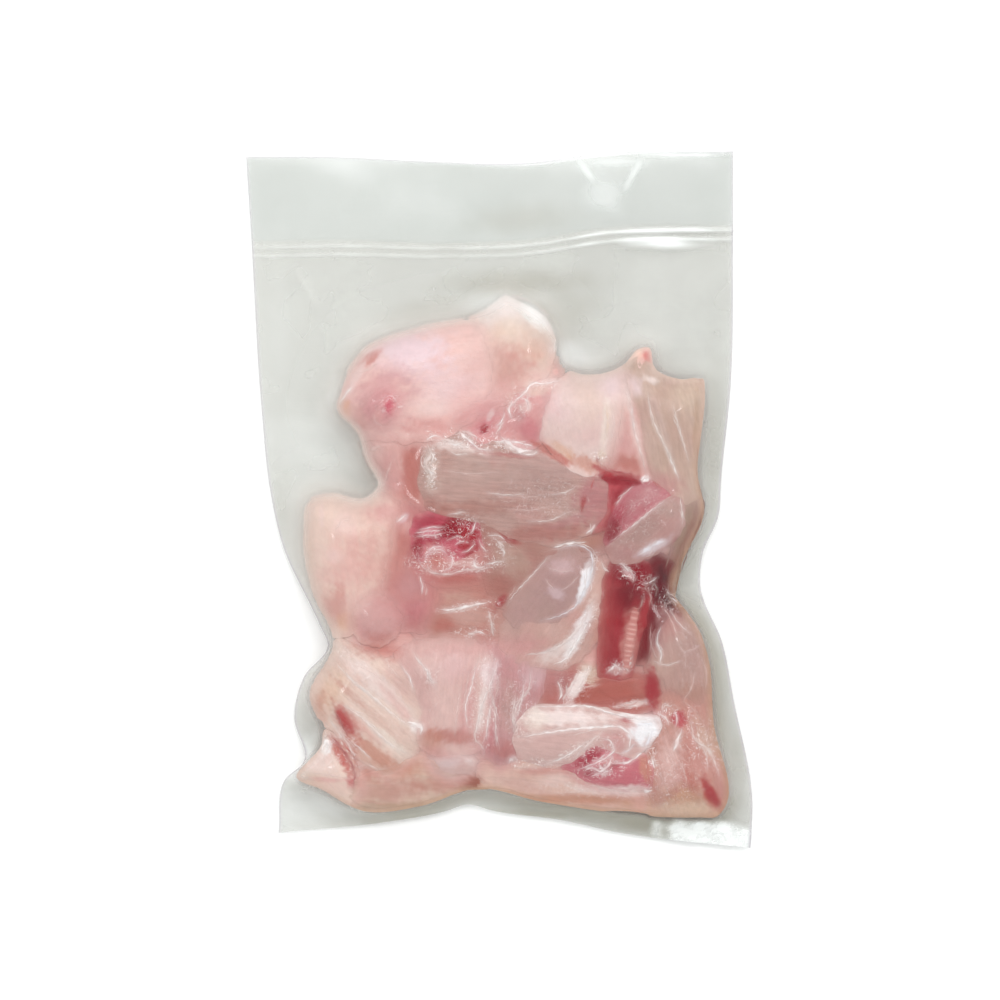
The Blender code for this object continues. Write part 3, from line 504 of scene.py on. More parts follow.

# Membranes, flake edges and painted glints of the film over them, as many of the white and silver
# ones are: path in picture points, width in points, tone
STRANDS_AND_GLINTS = rows("""
    459 432 466 438 476 446 4.5 white, 440 438 449 441 460 446 470 450 3 membrane,
    427 444 431 454 426 464 432 475 427 487 5 membrane,
    500 437 508 443 520 451 536 450 6 white, 505 441 518 443 534 447 2.5 white,
    511 409 516 401 525 393 531 385 545 384 562 380 3.2 white,
    513 400 509 412 512 420 2.4 white, 529 392 527 402 530 412 2 membrane,
    485 492 505 495 526 494 1.8 membrane, 527 521 550 520 569 511 1.8 membrane,
    550 495 568 491 577 485 1.6 membrane, 507 495 530 497 548 494 1.5 pale,
    440 470 470 474 500 472 1.6 pale, 500 508 530 510 556 505 1.5 pale,
    585 534 591 529 595 524 3.6 white, 552 548 564 544 586 542 3.6 white,
    623 386 630 409 634 432 639 450 646 476 3.4 membrane,
    646 392 653 423 664 447 674 470 2.8 membrane, 671 404 680 435 689 464 2.2 membrane,
    664 447 674 470 678 480 2 white, 609 542 632 525 654 507 666 499 2.6 membrane,
    614 507 623 494 633 486 2.2 membrane, 679 497 681 512 682 526 2.2 membrane,
    636 556 646 549 656 543 666 540 6.5 silver, 415 533 428 531 442 530 1.7 white,
    430 536 438 534 444 533 1.5 membrane, 447 515 458 513 468 512 2.6 membrane,
    458 528 464 525 468 519 2 pink, 463 545 466 541 470 537 2 pink,
    478 537 482 546 488 553 2 membrane, 495 539 500 543 505 547 2.8 membrane,
    419 550 420 562 430 571 447 574 464 570 486 568 505 560 2.2 membrane,
    473 558 477 567 485 566 4.6 white, 450 567 458 565 468 562 2.2 pale,
    440 551 448 556 450 564 2 pale, 425 555 432 552 440 553 2 membrane,
    438 609 451 609 471 605 491 601 4.2 white, 488 608 491 620 493 636 3.6 membrane,
    508 598 512 592 516 585 2.2 pale, 467 634 472 633 477 631 4 membrane,
    425 583 427 590 426 596 3 pale, 412 649 419 660 427 669 432 681 438 688 2.8 membrane,
    427 665 430 676 436 682 2 white,
    497 662 490 684 482 703 477 725 475 736 484 749 482 760 2.8 membrane,
    490 684 495 712 496 730 500 750 2.2 membrane, 462 684 458 706 455 736 2.2 pale,
    470 668 466 690 463 712 2 pale, 516 692 513 710 514 732 2.6 membrane,
    480 655 477 664 470 672 2 pale, 531 668 528 688 517 703 515 734 2.8 membrane,
    334 660 353 679 371 693 393 712 405 721 416 727 3.6 membrane,
    342 703 364 717 379 732 401 749 409 753 3.6 membrane,
    407 721 415 722 422 727 421 734 6 white, 329 731 340 745 349 757 355 772 354 788 5 crimson,
    336 724 347 740 358 758 381 769 2.6 membrane, 322 750 326 741 331 747 5 white,
    310 772 330 774 352 778 2 pale, 386 658 392 668 400 676 2.4 pale,
    352 664 368 668 384 680 2.6 pale,
    556 549 578 545 590 552 592 560 590 575 583 593 574 606 561 614 540 620 3 silver,
    592 562 589 577 582 594 574 605 5.2 silver, 550 554 537 569 519 588 505 605 2 membrane,
    544 577 549 584 554 590 1.8 pale, 545 566 560 571 574 570 1.6 pale,
    560 590 570 584 578 575 1.6 pale,
    594 597 587 612 578 627 562 643 543 652 524 654 4.6 membrane,
    588 620 574 645 565 658 552 664 4 white, 620 572 626 568 632 574 632 583 2.6 membrane,
    618 563 624 566 628 572 2.6 white, 640 581 648 576 652 582 648 590 642 589 2.2 grey,
    643 593 641 602 636 612 2.4 grey, 606 672 611 667 617 662 1.8 white,
    611 662 617 666 622 670 1.8 white, 626 672 629 662 631 652 3 membrane,
    621 660 625 667 629 672 1.5 membrane, 600 560 604 568 609 572 3 membrane,
    661 603 672 623 678 641 2.4 pale, 650 622 650 643 657 660 2.6 pale,
    679 651 692 649 700 645 2.2 pale, 694 669 690 688 682 700 3 pale,
    664 594 671 596 676 600 3.6 grey, 655 640 660 652 659 664 2.2 white,
    578 671 570 686 562 700 4.5 membrane, 557 680 561 692 558 700 3 white,
    592 658 584 676 579 686 2.2 membrane, 579 686 590 685 601 683 2 pale,
    618 701 628 704 638 700 3 pale,
    518 736 546 731 574 727 602 725 618 725 629 733 628 745 620 756 3.6 white,
    570 760 589 741 603 728 3 membrane,
    530 705 560 705 589 705 612 712 637 716 655 717 3 white,
    644 746 648 738 652 728 4.5 silver, 636 724 644 722 652 722 3 silver,
    583 771 589 766 600 769 609 761 612 752 4 white, 600 775 606 771 612 768 3 membrane,
    507 760 513 758 517 765 530 766 550 764 3.6 membrane, 509 761 512 758 515 761 6 white,
    583 780 611 787 629 791 652 790 4 pale, 640 791 646 790 652 789 6 white,
    650 756 652 761 654 767 4.2 white, 672 751 677 737 681 727 5 white,
    661 711 665 704 671 706 3 membrane, 690 717 693 736 709 751 715 764 720 778 3.2 membrane,
    672 751 681 766 687 786 2.6 pale, 646 754 648 777 657 794 2.2 salmon,
    596 459 604 468 625 474 641 482 3 blood, 600 456 603 454 606 456 5 cream,
    642 480 646 477 650 480 3.5 white, 650 480 656 485 661 490 2 brick,
    605 405 607 423 604 441 4 cream, 338 405 344 397 353 386 3 white,
    354 374 366 371 379 364 4 pale, 374 414 377 423 384 427 2 pale,
    384 486 388 472 394 458 2.6 pale, 370 452 376 448 381 446 6 pale,
    357 441 365 460 372 477 2 brown, 397 523 402 518 409 514 3.5 membrane,
    320 501 311 512 308 522 2 pale, 336 530 342 522 350 518 3 pale,
    534 300 544 312 550 328 4 white, 508 296 520 297 531 301 5 white,
    553 338 556 346 554 352 3 white, 516 306 526 318 540 328 3 white,
    698 441 697 476 705 509 693 539 681 573 672 590 1.8 brown,
    703 510 697 530 688 548 1.6 brown, 657 373 672 378 690 381 704 383 2 cream,
    505 420 500 428 494 436 2.4 membrane, 462 431 470 434 480 440 3 membrane,
    360 800 400 806 440 798 470 791 2 tan, 500 792 550 797 600 799 640 805 2 tan,
    650 577 647 584 640 590 1.8 grey, 652 580 656 588 655 597 1.8 grey,
    646 588 650 597 648 606 1.6 pale, 657 576 649 582 641 583 1.5 white,
    666 590 672 598 679 603 1.6 white, 661 607 669 602 677 600 1.5 pale,
    668 606 676 620 690 634 1.4 membrane, 683 610 697 628 702 645 1.5 pale,
    652 660 664 664 680 660 1.6 membrane, 676 641 684 655 684 668 1.4 pale,
    700 655 706 672 705 690 1.5 pale, 660 625 656 640 660 652 1.5 white,
    545 763 560 757 575 748 588 738 2.4 white,
    575 769 590 763 603 757 613 748 608 738 597 736 2.4 white,
    590 775 600 771 612 769 1.8 white, 610 759 625 761 640 752 652 742 2.8 white,
    596 762 603 768 601 777 1.6 white, 570 770 580 764 586 755 1.6 pink,
    605 751 599 757 590 759 1.6 white, 620 752 628 748 634 741 1.6 silver,
    426 560 429 551 437 546 446 548 1.6 white, 452 553 452 565 444 572 1.8 white,
    440 573 431 570 427 563 1.6 membrane, 432 551 440 549 447 553 1.3 white,
    455 545 462 541 470 543 1.3 white, 446 541 455 537 463 536 1.3 membrane,
    461 553 470 549 476 541 1.4 white, 468 536 474 528 476 519 1.4 white,
    460 524 466 517 470 512 1.3 pale, 418 530 432 527 446 527 1.4 white,
    416 537 428 535 440 536 1.3 white, 484 565 494 562 504 561 1.6 white,
    487 536 497 535 506 540 1.4 white, 499 545 504 551 503 557 1.4 white,
    420 575 423 587 422 594 1.5 white, 470 634 479 631 486 634 1.5 white,
    427 441 434 436 442 438 1.8 white, 447 443 456 445 464 443 1.6 white,
    470 440 479 449 490 450 1.8 white, 496 446 503 441 512 446 1.8 white,
    520 453 531 455 540 450 1.8 white, 449 451 458 455 469 453 1.5 membrane,
    428 450 434 457 431 464 1.6 white, 426 470 433 474 430 482 1.5 white,
    495 428 502 421 505 412 1.5 white, 520 398 527 402 528 412 1.5 white,
    338 738 330 746 324 757 1.5 membrane, 352 740 362 748 372 758 1.5 white,
    350 775 356 764 356 752 1.8 red, 341 738 350 750 358 761 356 776 3.4 red,
    335 709 341 720 350 737 3.0 crimson, 329 718 337 728 344 742 1.8 membrane,
    402 665 410 676 414 690 1.3 white, 476 662 472 684 466 704 468 728 1.6 white,
    492 700 488 720 486 740 1.5 white, 500 670 497 690 491 712 1.4 pale,
    524 680 522 696 516 716 1.4 white, 610 408 613 424 611 440 2.4 pale,
    598 470 592 482 590 494 1.4 red, 655 712 664 716 668 724 1.8 white,
    672 708 676 716 674 726 1.6 white, 681 700 690 706 697 716 1.5 pale,
    700 742 706 756 706 770 1.5 membrane""")

# Finer lines, painted highlights of crinkled film, run beside the strands of these tones that are
# at least this wide
LINED_TONES = ("white", "membrane", "silver")
LINED_WIDTH = 2.2
THREE_LINES_WIDTH = 3

# The cartilage, in picture points
SPINE_TICKS = ((635, 607), (632, 622), (629, 640), (627, 655), (626, 670))
SPINE_WIDTH = 12.0
TICK_STEP = 5.4

# How much darker or lighter the flesh of some chunks is than its tones
DEEPER = dict(rows("""
    slab 0.76, right_rim 0.56, upper_wedge 0.80, lower_wedge 0.67, blood_gap 0.95,
    blood_tip 0.5, bloodline 0.84, flaked_corner 0.82, right_mid 0.75, centre_strip 0.73,
    mid_strip 0.84, oval 0.82, oval_under 0.88, centre_low 0.90, ringed_piece 0.90, neck 0.94,
    cheek 0.94, cheek_side 0.93, left_inner 0.92, small_bump 0.95, lower_left 0.97,
    lower_mid 0.92, flake_mid 0.93, silver_skin 0.86, top_left 1.10, nodule 1.12,
    corner_tip 1.35, left_tip 1.08, blood_block 0.95, red_muscle 0.96, notch_bump 0.89,
    left_lump 1.04, corner 1.42, lower_right 0.95"""))

# How clearly the fibres show on some chunks. The film's haze hides them on the others
FIBROUS = dict(rows("""
    slab 1.0, lower_mid 0.35, flake_mid 0.6, silver_skin 0.6, lower_left 0.5,
    flaked_corner 0.6, right_rim 0.7, bloodline 0.7, blood_tip 0.7, oval 0.4, lower_right 0.6,
    right_mid 0.6, red_muscle 0.6, blood_block 0.8, mid_strip 0.6, top_left 0.15, crown 0.2,
    left_lump 0.15, small_bump 0.15, nodule 0.6, cheek 0.2, throat 0.3, cheek_side 0.3,
    left_tip 0.3"""))
FIBROUS_ELSEWHERE = 0.4

# Where painted highlights of crinkled film show over the fish: middle, half-lengths, turn, how
# strongly
CRUMPLE_GLINTS = rows("""
    475 442 54 9 8 0.9, 431 468 8 24 0 0.8, 492 432 16 9 0 0.6, 520 405 16 18 0 0.5,
    545 386 18 6 -10 0.5, 440 533 26 6 -4 0.6, 466 528 16 16 0 0.8, 437 560 24 16 0 0.9,
    480 564 30 9 -5 0.9, 495 545 16 12 0 0.6, 470 605 34 5 -8 0.7, 470 632 20 6 0 0.6,
    492 620 6 20 0 0.5, 590 575 7 26 15 0.5, 580 630 9 36 28 0.6, 628 572 14 9 20 0.8,
    645 585 12 14 0 0.5, 668 600 16 14 0 0.5, 690 650 18 36 0 0.2, 618 667 14 8 -10 0.6,
    575 685 22 14 -50 0.5, 632 703 20 5 -5 0.7, 590 745 34 9 -15 0.8, 648 728 14 14 0 0.6,
    600 765 28 12 -10 0.9, 530 762 28 6 5 0.8, 668 712 12 10 0 0.8, 700 740 20 34 -30 0.6,
    652 760 6 14 0 0.8, 338 750 20 26 -20 0.6, 328 742 7 9 0 0.9, 430 672 10 18 -30 0.5,
    485 700 16 50 5 0.5, 520 710 16 34 0 0.5, 600 457 9 6 0 0.8, 646 480 6 5 0 0.9,
    391 405 12 12 0 0.4, 640 520 40 24 -38 0.25, 670 780 30 26 0 0.35, 545 500 50 26 0 0.25,
    355 660 40 8 40 0.35, 385 715 40 20 40 0.2, 590 790 60 8 3 0.35""")
CRUMPLE_GLINTS_FADE = (0.5, 1.4)

# Tones that stay light in the darker chunks
LIGHT_TONES = ("white", "silver", "membrane", "lilac")

# The fish pales under the film's edge, where its haze veils it, painted lighter in one tone to the
# upper left and darker in another to the lower right, as light and shade. These and the film's look
# change over a range of y - x, in millimetres
RIM_UPPER_LEFT = (228, 214, 204)
RIM_LOWER_RIGHT = (200, 173, 148)
RIM_WIDTH = 4.0 * MM
RIM_STRENGTH = 0.7
RIM_TURN = (-120, 20)
FILM_TURN = (-40, 60)

# How hazy each part of the film is, as the share of what lies behind that it hides
HAZE_CLEAR = 0.05
HAZE_BODY = 0.37
HAZE_HEADER = 0.31
HAZE_RIBS = 0.45
HAZE_EDGE = 0.12
HAZE_SHADED = 0.08
RIM_HAZE = 0.2

# What share of its haze the film loses on its steep wall: to the lower right, to the upper left
WALL_CLEARED = (0.65, 0.2)
WALL_TINT = 0.7
RIM_TINT = 0.7

# Tones of the film
FILM_BODY = (0.545, 0.545, 0.505)
FILM_HEADER = (0.475, 0.50, 0.465)
# Painted light: the film near the fish is lighter on the upper left
FILM_LIT_NEAR_FISH = (0.665, 0.645, 0.60)
# Painted glow along the fish's upper left edge
FILM_RIM_GLOW = (0.68, 0.63, 0.59)
FILM_OVER_FISH = (0.50, 0.44, 0.42)
# Painted glare: at the white marks and along the seal's ribs, and over the crinkled corner as
# painted sparkle
FILM_GLARE_WHITE = (0.85, 0.87, 0.86)
FILM_SHADE = (0.36, 0.34, 0.27)
FILM_EDGE = (0.42, 0.39, 0.43)

# How far inside the fish's edge the film clings: to the lower right, and to the upper left
VEIL_REACH = (1.2 * MM, 3.4 * MM)

# Over which depths inside the fish's outline, negative outside it, the film's looks change
FAR_FROM_FISH = (-30 * MM, -20 * MM)
NEAR_FISH = (-12 * MM, 0)
OVER_FISH = (2 * MM, 6 * MM)
SHADED_NEAR = (-9 * MM, -1 * MM)
RIM_BAND = (1.5 * MM, 3.6 * MM)
WALL_END = (1.2 * MM, 3 * MM)
MATTE_FROM, MATTE_TO = (-24 * MM, -13 * MM), (0.5 * MM, 3.5 * MM)

# Over which heights above the skirt the film's wall shows, and over which distances from the
# ply's cut edges their own tone and the seals do
WALL_RISE = (2 * MM, 6 * MM)
CUT_EDGE = (0.2 * MM, 1.4 * MM)
LOW_SEAL = (4.9 * MM, 5.3 * MM)
RIB_HEIGHT = 0.8 * MM

# Where the film is shaded right of the fish and below it, in millimetres
SHADED_X, SHADED_FROM, SHADED_TO = (66, 84), (0, 40), (90, 115)
BELOW_FROM, BELOW_X = (116, 126), (-62, -40)

# Glare and shade in the film: middle, half-lengths, turn, how white or dark, how much hazier
FILM_GLARE_AND_SHADE = rows("""
    604 192 28 24 20 0.6 0.12, 588 172 24 5 55 0.8 0.16, 633 174 24 5 118 0.8 0.16,
    613 161 38 6 0 0.6 0.12, 700 158 40 8 0 0.2 0.0, 520 160 44 2.6 -4 1.0 0.3,
    684 153 54 2.6 -1 1.0 0.3, 661 241 46 7 2 1.0 0.6, 664 229 80 3.4 -2 0.9 0.35,
    425 196 60 26 0 0.12 0.0, 345 168 40 13 16 0.30 0.0, 300 440 60 42 0 0.2 0.0,
    292 812 40 28 -10 0.45 0.0, 318 806 30 14 10 0.5 0.0, 302 760 18 28 30 0.9 0.2,
    334 392 10 20 20 0.3 0.0, 568 354 34 16 0 0.6 0.0, 640 388 26 8 0 0.3 0.0,
    534 314 28 8 42 0.9 0.2, 496 303 36 16 0 0.6 0.15, 277 330 16 60 0 0.12 0.0,
    524 217 60 18 -4 -0.4 0.03, 520 282 90 18 -2 -0.6 0.04, 566 310 40 34 0 -0.35 0.02,
    430 306 60 14 -14 -0.3 0.02, 640 824 66 15 9 -0.9 0.24, 410 820 76 10 -5 -0.8 0.18,
    545 816 70 8 2 -0.85 0.20, 724 650 9 90 0 -0.5 0.05, 716 450 14 110 0 -0.4 0.03,
    736 770 14 50 0 -0.35 0.03, 268 560 16 100 8 -0.25 0.02""")
GLARE_AND_SHADE_FADE = (0.1, 1.3)

# Where the film over the fish is clearer or whiter: middle, half-lengths, turn, haze
FILM_ON_FISH = rows("""
    640 610 44 64 8 -0.85, 452 532 42 22 0 -0.7, 640 515 48 40 -30 -0.6, 470 590 60 40 0 -0.5,
    610 480 40 14 10 -0.6, 610 768 50 18 0 -0.5, 345 745 22 34 -20 -0.5, 404 465 20 44 0 -0.4,
    600 690 60 20 0 -0.5, 312 765 26 22 -30 0.10, 294 781 20 14 -10 0.35, 500 308 40 22 0 0.16,
    538 326 24 30 40 0.14, 394 402 14 16 0 -0.7""")
ON_FISH_FADE = (0.3, 1.3)

# How deep the creases between pressed chunks are, least on the tallest ones and under
# hazy film, and how far colours run over them
CREASE_LEAST = 0.05 * MM
CREASE_MOST = 0.35 * MM
CREASE_VEILED = 0.25
CREASE_ROUNDS = 120
CORE_DROP = 0.45 * MM
CORE_INSET = 1.2 * MM
CORE_ROUND = 5.0 * MM
CORE_EDGE = 6.0 * MM
CORE_LOW = 2.2 * MM
SURFACE_ROUNDS = 50
SOFT_ROUNDS = 16
BLUR_ROUNDS = 90
SEAM_ROUNDS = 15
SEAM_FADE = 0.07
SEAM_HAZY = (0.45, 0.9)

# How far colours run over the edges of some chunks
MARKED_EDGES = dict(rows("""
    slab 0.4, fold 0.6, blood_block 0.45, oval 0.45, silver_skin 0.3, bloodline 0.55,
    upper_wedge 0.4, lower_wedge 0.4, flaked_corner 0.65, lower_left 0.65, red_muscle 0.5,
    left_tip 0.7, corner_tip 0.6, nodule 0.85, lower_mid 0.8, flake_mid 0.75, oval_under 0.7,
    mid_strip 0.6, blood_gap 0.7, notch_bump 0.75, lower_right 0.75, blood_tip 0.7, throat 0.9"""))
MARKED_ELSEWHERE = 0.95

STRAND_WIDTH = 0.78
STRAND_RISE = 0.12 * MM
STRAND_STEP = 0.5 * MM
STRAND_STRAY = 0.12 * MM

# Beside a strand the flesh pales: how much, and how far out from it in picture points
HALO = 0.26
HALO_REACH = 0.9
HALO_LEAST = 1.5
HALO_CORE = 0.2

# How clearly strands of each tone show
STRAND_STRENGTH = {"white": 0.8, "silver": 0.8, "membrane": 0.7, "pale": 0.5}
STRAND_ELSEWHERE = 0.7

# Painted highlights along creases in the film, with painted shade beside them: shift, stretch and
# level of the lumps whose outlines they follow
WRINKLE_GLINTS = ((0.0, (0.22, 0.5, 0.3), 0.50), (31.0, (0.45, 0.25, 0.3), 0.52))
GLINT = (0.88, 0.80, 0.79, 1.0)

# Lamps: name, place, size, power
SKY = 1.0
LAMPS = (
    ("key", (0.15, 0.75, 0.90), (0.90, 0.80), 5.0),
    ("left", (-0.75, 0.10, 0.75), (0.10, 0.2), 1.2),
    ("right", (0.75, 0.25, 0.65), (0.10, 0.2), 1.2),
)
SKY_COLOUR = (0.98, 1.0, 0.99, 1.0)
TABLE_REACH = 3.0


def pairs(numbers):
    return np.array(numbers, float).reshape(-1, 2)


def place(numbers):
    """Plan positions in metres of picture points."""
    values = pairs(numbers)
    return np.column_stack(((values[:, 0] - MIDDLE) * POINT, (MIDDLE - values[:, 1]) * POINT))


def picture(x, y):
    """The picture points of plan positions."""
    return x / POINT + MIDDLE, MIDDLE - y / POINT


def linear(tones):
    """A tone of the palette, or the mean of some joined by +, as a linear colour."""
    return unscreen(np.mean([PALETTE[tone] for tone in tones.split("+")], axis=0))


def unscreen(value):
    """A display colour as a linear one, with its contrast to mid pink raised."""
    value = np.asarray(value) / 255
    value = np.where(value <= 0.04045, value / 12.92, ((value + 0.055) / 1.055) ** 2.4)
    return TONE_GAIN * MID_PINK * (value / MID_PINK) ** CONTRAST


def run_along(points):
    """How far along a line of points each of them is."""
    return np.concatenate(([0.0], np.cumsum(np.hypot(*np.diff(points, axis=0).T))))


def along(points, share):
    """A point at each share, 0 to 1, of a smooth curve through the points."""
    points = np.array(points, float)
    run = run_along(points)
    slopes = np.gradient(points, run, axis=0)
    where = np.clip(share, 0, 1) * run[-1]
    step = np.clip(np.searchsorted(run, where, side="right") - 1, 0, len(points) - 2)
    gap = (run[step + 1] - run[step])[..., None]
    t = (where - run[step])[..., None] / gap
    return (
        (1 + 2 * t) * (1 - t) ** 2 * points[step]
        + t * (1 - t) ** 2 * gap * slopes[step]
        + t**2 * (3 - 2 * t) * points[step + 1]
        + t**2 * (t - 1) * gap * slopes[step + 1]
    )


def share_along(x, y, x0, y0, run, rise):
    """How far along a straight line places lie: 0 at its start, 1 at its end."""
    return ((x - x0) * run + (y - y0) * rise) / (run**2 + rise**2)


def turned(x, y, degrees):
    """How far places lie along a direction, and across it."""
    way = math.radians(degrees)
    return x * math.cos(way) + y * math.sin(way), y * math.cos(way) - x * math.sin(way)


def ripple(x, y, size, seed):
    """Smooth unevenness, mostly between -1 and 1, in lumps of about this size."""
    draw = np.random.default_rng(seed)
    total = 0.0
    for _ in range(RIPPLE_WAVES):
        way = draw.uniform(0, TURN)
        pitch = size * draw.uniform(*RIPPLE_PITCH)
        across = x * math.cos(way) + y * math.sin(way)
        total = total + np.sin(TURN * across / pitch + draw.uniform(0, TURN))
    return total / RIPPLE_HEIGHT


def smooth(value, low, high):
    """0 up to low, 1 from high on, with a smooth step between them."""
    t = np.clip((value - low) / (high - low), 0, 1)
    return t * t * (3 - 2 * t)


def swell(value, middle, half_width):
    """1 at the middle, falling off smoothly to both sides."""
    return np.exp(-(((value - middle) / half_width) ** 2))


def blend(start, end, share):
    return start + (end - start) * share


def belly(rim, shape):
    """How full a form is: 1 over its middle, 0 at its rim and outside it."""
    return (1 - np.clip(rim, 0, 1) ** shape) ** (1 / shape)


# Fields over the plan
class Field:
    """A regular grid over the pack. Values on it are read anywhere from the four nearest."""

    def __init__(self, low, high):
        self.low = np.array(low)
        self.counts = np.ceil((np.array(high) - self.low) / FIELD_STEP).astype(int) + 1
        self.x, self.y = np.meshgrid(
            self.low[0] + FIELD_STEP * np.arange(self.counts[0]),
            self.low[1] + FIELD_STEP * np.arange(self.counts[1]),
        )

    def read(self, values, x, y):
        column = np.clip((x - self.low[0]) / FIELD_STEP, 0, self.counts[0] - 1.001)
        row = np.clip((y - self.low[1]) / FIELD_STEP, 0, self.counts[1] - 1.001)
        i, j = row.astype(int), column.astype(int)
        a, b = row - i, column - j
        if values.ndim == 3:
            a, b = a[..., None], b[..., None]
        return (
            values[i, j] * (1 - a) * (1 - b)
            + values[i + 1, j] * a * (1 - b)
            + values[i, j + 1] * (1 - a) * b
            + values[i + 1, j + 1] * a * b
        )


def neighbours(values):
    """Each value of a grid replaced by the mean of the four round it."""
    mean = values.copy()
    mean[1:-1, 1:-1] = (values[2:, 1:-1] + values[:-2, 1:-1]
                        + values[1:-1, 2:] + values[1:-1, :-2]) / 4
    return mean


def widened(values, rounds):
    """A grid's values spread over their neighbours this many times."""
    for _ in range(rounds):
        values = neighbours(values)
    return values


def settle(height, least, rounds, pull):
    """Draws a sheet tight over what lies under it, with a slight pull into the creases."""
    for _ in range(rounds):
        height = np.maximum(neighbours(height) - pull, least)
    return height


def soften(colours, weight, rounds):
    """Colours of a grid run into each other, where the weight says that there are any."""
    total = colours * weight[..., None]
    for _ in range(rounds):
        total, weight = neighbours(total), neighbours(weight)
    return total / np.maximum(weight, 1e-6)[..., None]


def depth_inside(outline, x, y):
    """Distance in from a closed outline, negative outside it."""
    closed = along(outline + outline[:1], np.linspace(0, 1, 8 * len(outline) + 1)) * MM
    nearest = np.full(x.shape, np.inf)
    crossings = np.zeros(x.shape, int)
    for (x0, y0), (x1, y1) in zip(closed[:-1], closed[1:]):
        run, rise = x1 - x0, y1 - y0
        share = np.clip(share_along(x, y, x0, y0, run, rise), 0, 1)
        nearest = np.minimum(nearest, np.hypot(x - x0 - share * run, y - y0 - share * rise))
        spans = (y0 > y) != (y1 > y)
        crossings += spans & (x < x0 + (y - y0) * run / (rise if rise else 1e-12))
    return np.where(crossings % 2 == 1, nearest, -nearest)


def oval(u, v, middle_u, middle_v, long, short, turn):
    """How far picture points are from an oval's middle: 1 on its edge."""
    along_it, across = turned(u - middle_u, v - middle_v, turn)
    return np.hypot(along_it / long, across / short)


def ovals(u, v, table, fade, edge=0.0):
    """How far points lie in each oval of a table, 0 to 1, each with what ends its row."""
    for row in table:
        yield 1 - smooth(oval(u, v, *row[:5]) + edge, *fade), *row[5:]


def stain_and_light(colour, u, v, stains, deep, upper, seed):
    """Colours at picture points under soft-edged, slightly ragged colour ovals: the flesh's own
    marks, and some painted highlights and painted shade.
    """
    edge = sum(far * ripple(u, v, size, seed + more) for far, size, more in RAGGED)
    for *shape, tone, strength, soft in stains:
        off = oval(u, v, *shape) + edge
        amount = strength * (1 - smooth(off, 1 - soft, 1 + STAIN_FADE * soft)) * upper
        gain = 1.0 if tone.split("+")[0] in LIGHT_TONES else deep
        colour = blend(colour, linear(tone) * gain, amount[..., None])
    return colour


def line_distance(path, u, v):
    """Distance in picture points from a smooth line through points, and the share along it."""
    line = along(path, np.linspace(0, 1, 6 * len(path)))
    best, share = np.full(u.shape, np.inf), np.zeros(u.shape)
    for step, ((u0, v0), (u1, v1)) in enumerate(zip(line[:-1], line[1:])):
        run, rise = u1 - u0, v1 - v0
        t = np.clip(share_along(u, v, u0, v0, run, rise), 0, 1)
        off = np.hypot(u - u0 - t * run, v - v0 - t * rise)
        share = np.where(off < best, (step + t) / (len(line) - 1), share)
        best = np.minimum(best, off)
    return best, share


def crumpled(x, y):
    """How strongly painted highlights of crinkled film show over the fish at each place."""
    u, v = picture(x, y)
    total = np.zeros(x.shape)
    edge = 0.25 * ripple(u, v, 14, SEED + 60)
    for amount, strength in ovals(u, v, CRUMPLE_GLINTS, CRUMPLE_GLINTS_FADE, edge):
        total = np.maximum(total, strength * amount)
    return total


def halo(colour, u, v, upper):
    """The flesh pales beside each membrane and flake edge, and beside the painted glints as a
    painted glow.
    """
    for *path, width, tone in STRANDS_AND_GLINTS:
        path = pairs(path)
        reach = HALO_REACH * width + HALO_LEAST
        low, high = path.min(axis=0) - reach, path.max(axis=0) + reach
        near = (u > low[0]) & (u < high[0]) & (v > low[1]) & (v < high[1])
        if not near.any():
            continue
        off, share = line_distance(path, u[near], v[near])
        taper = np.sin(math.pi * np.clip(share, 0.02, 0.98)) ** 0.6
        fade = 1 - smooth(off, HALO_CORE * width, reach)
        amount = HALO * STRAND_STRENGTH.get(tone, STRAND_ELSEWHERE) * taper * fade
        colour[near] = blend(colour[near], linear(tone), (amount * upper[near])[:, None])
    return colour


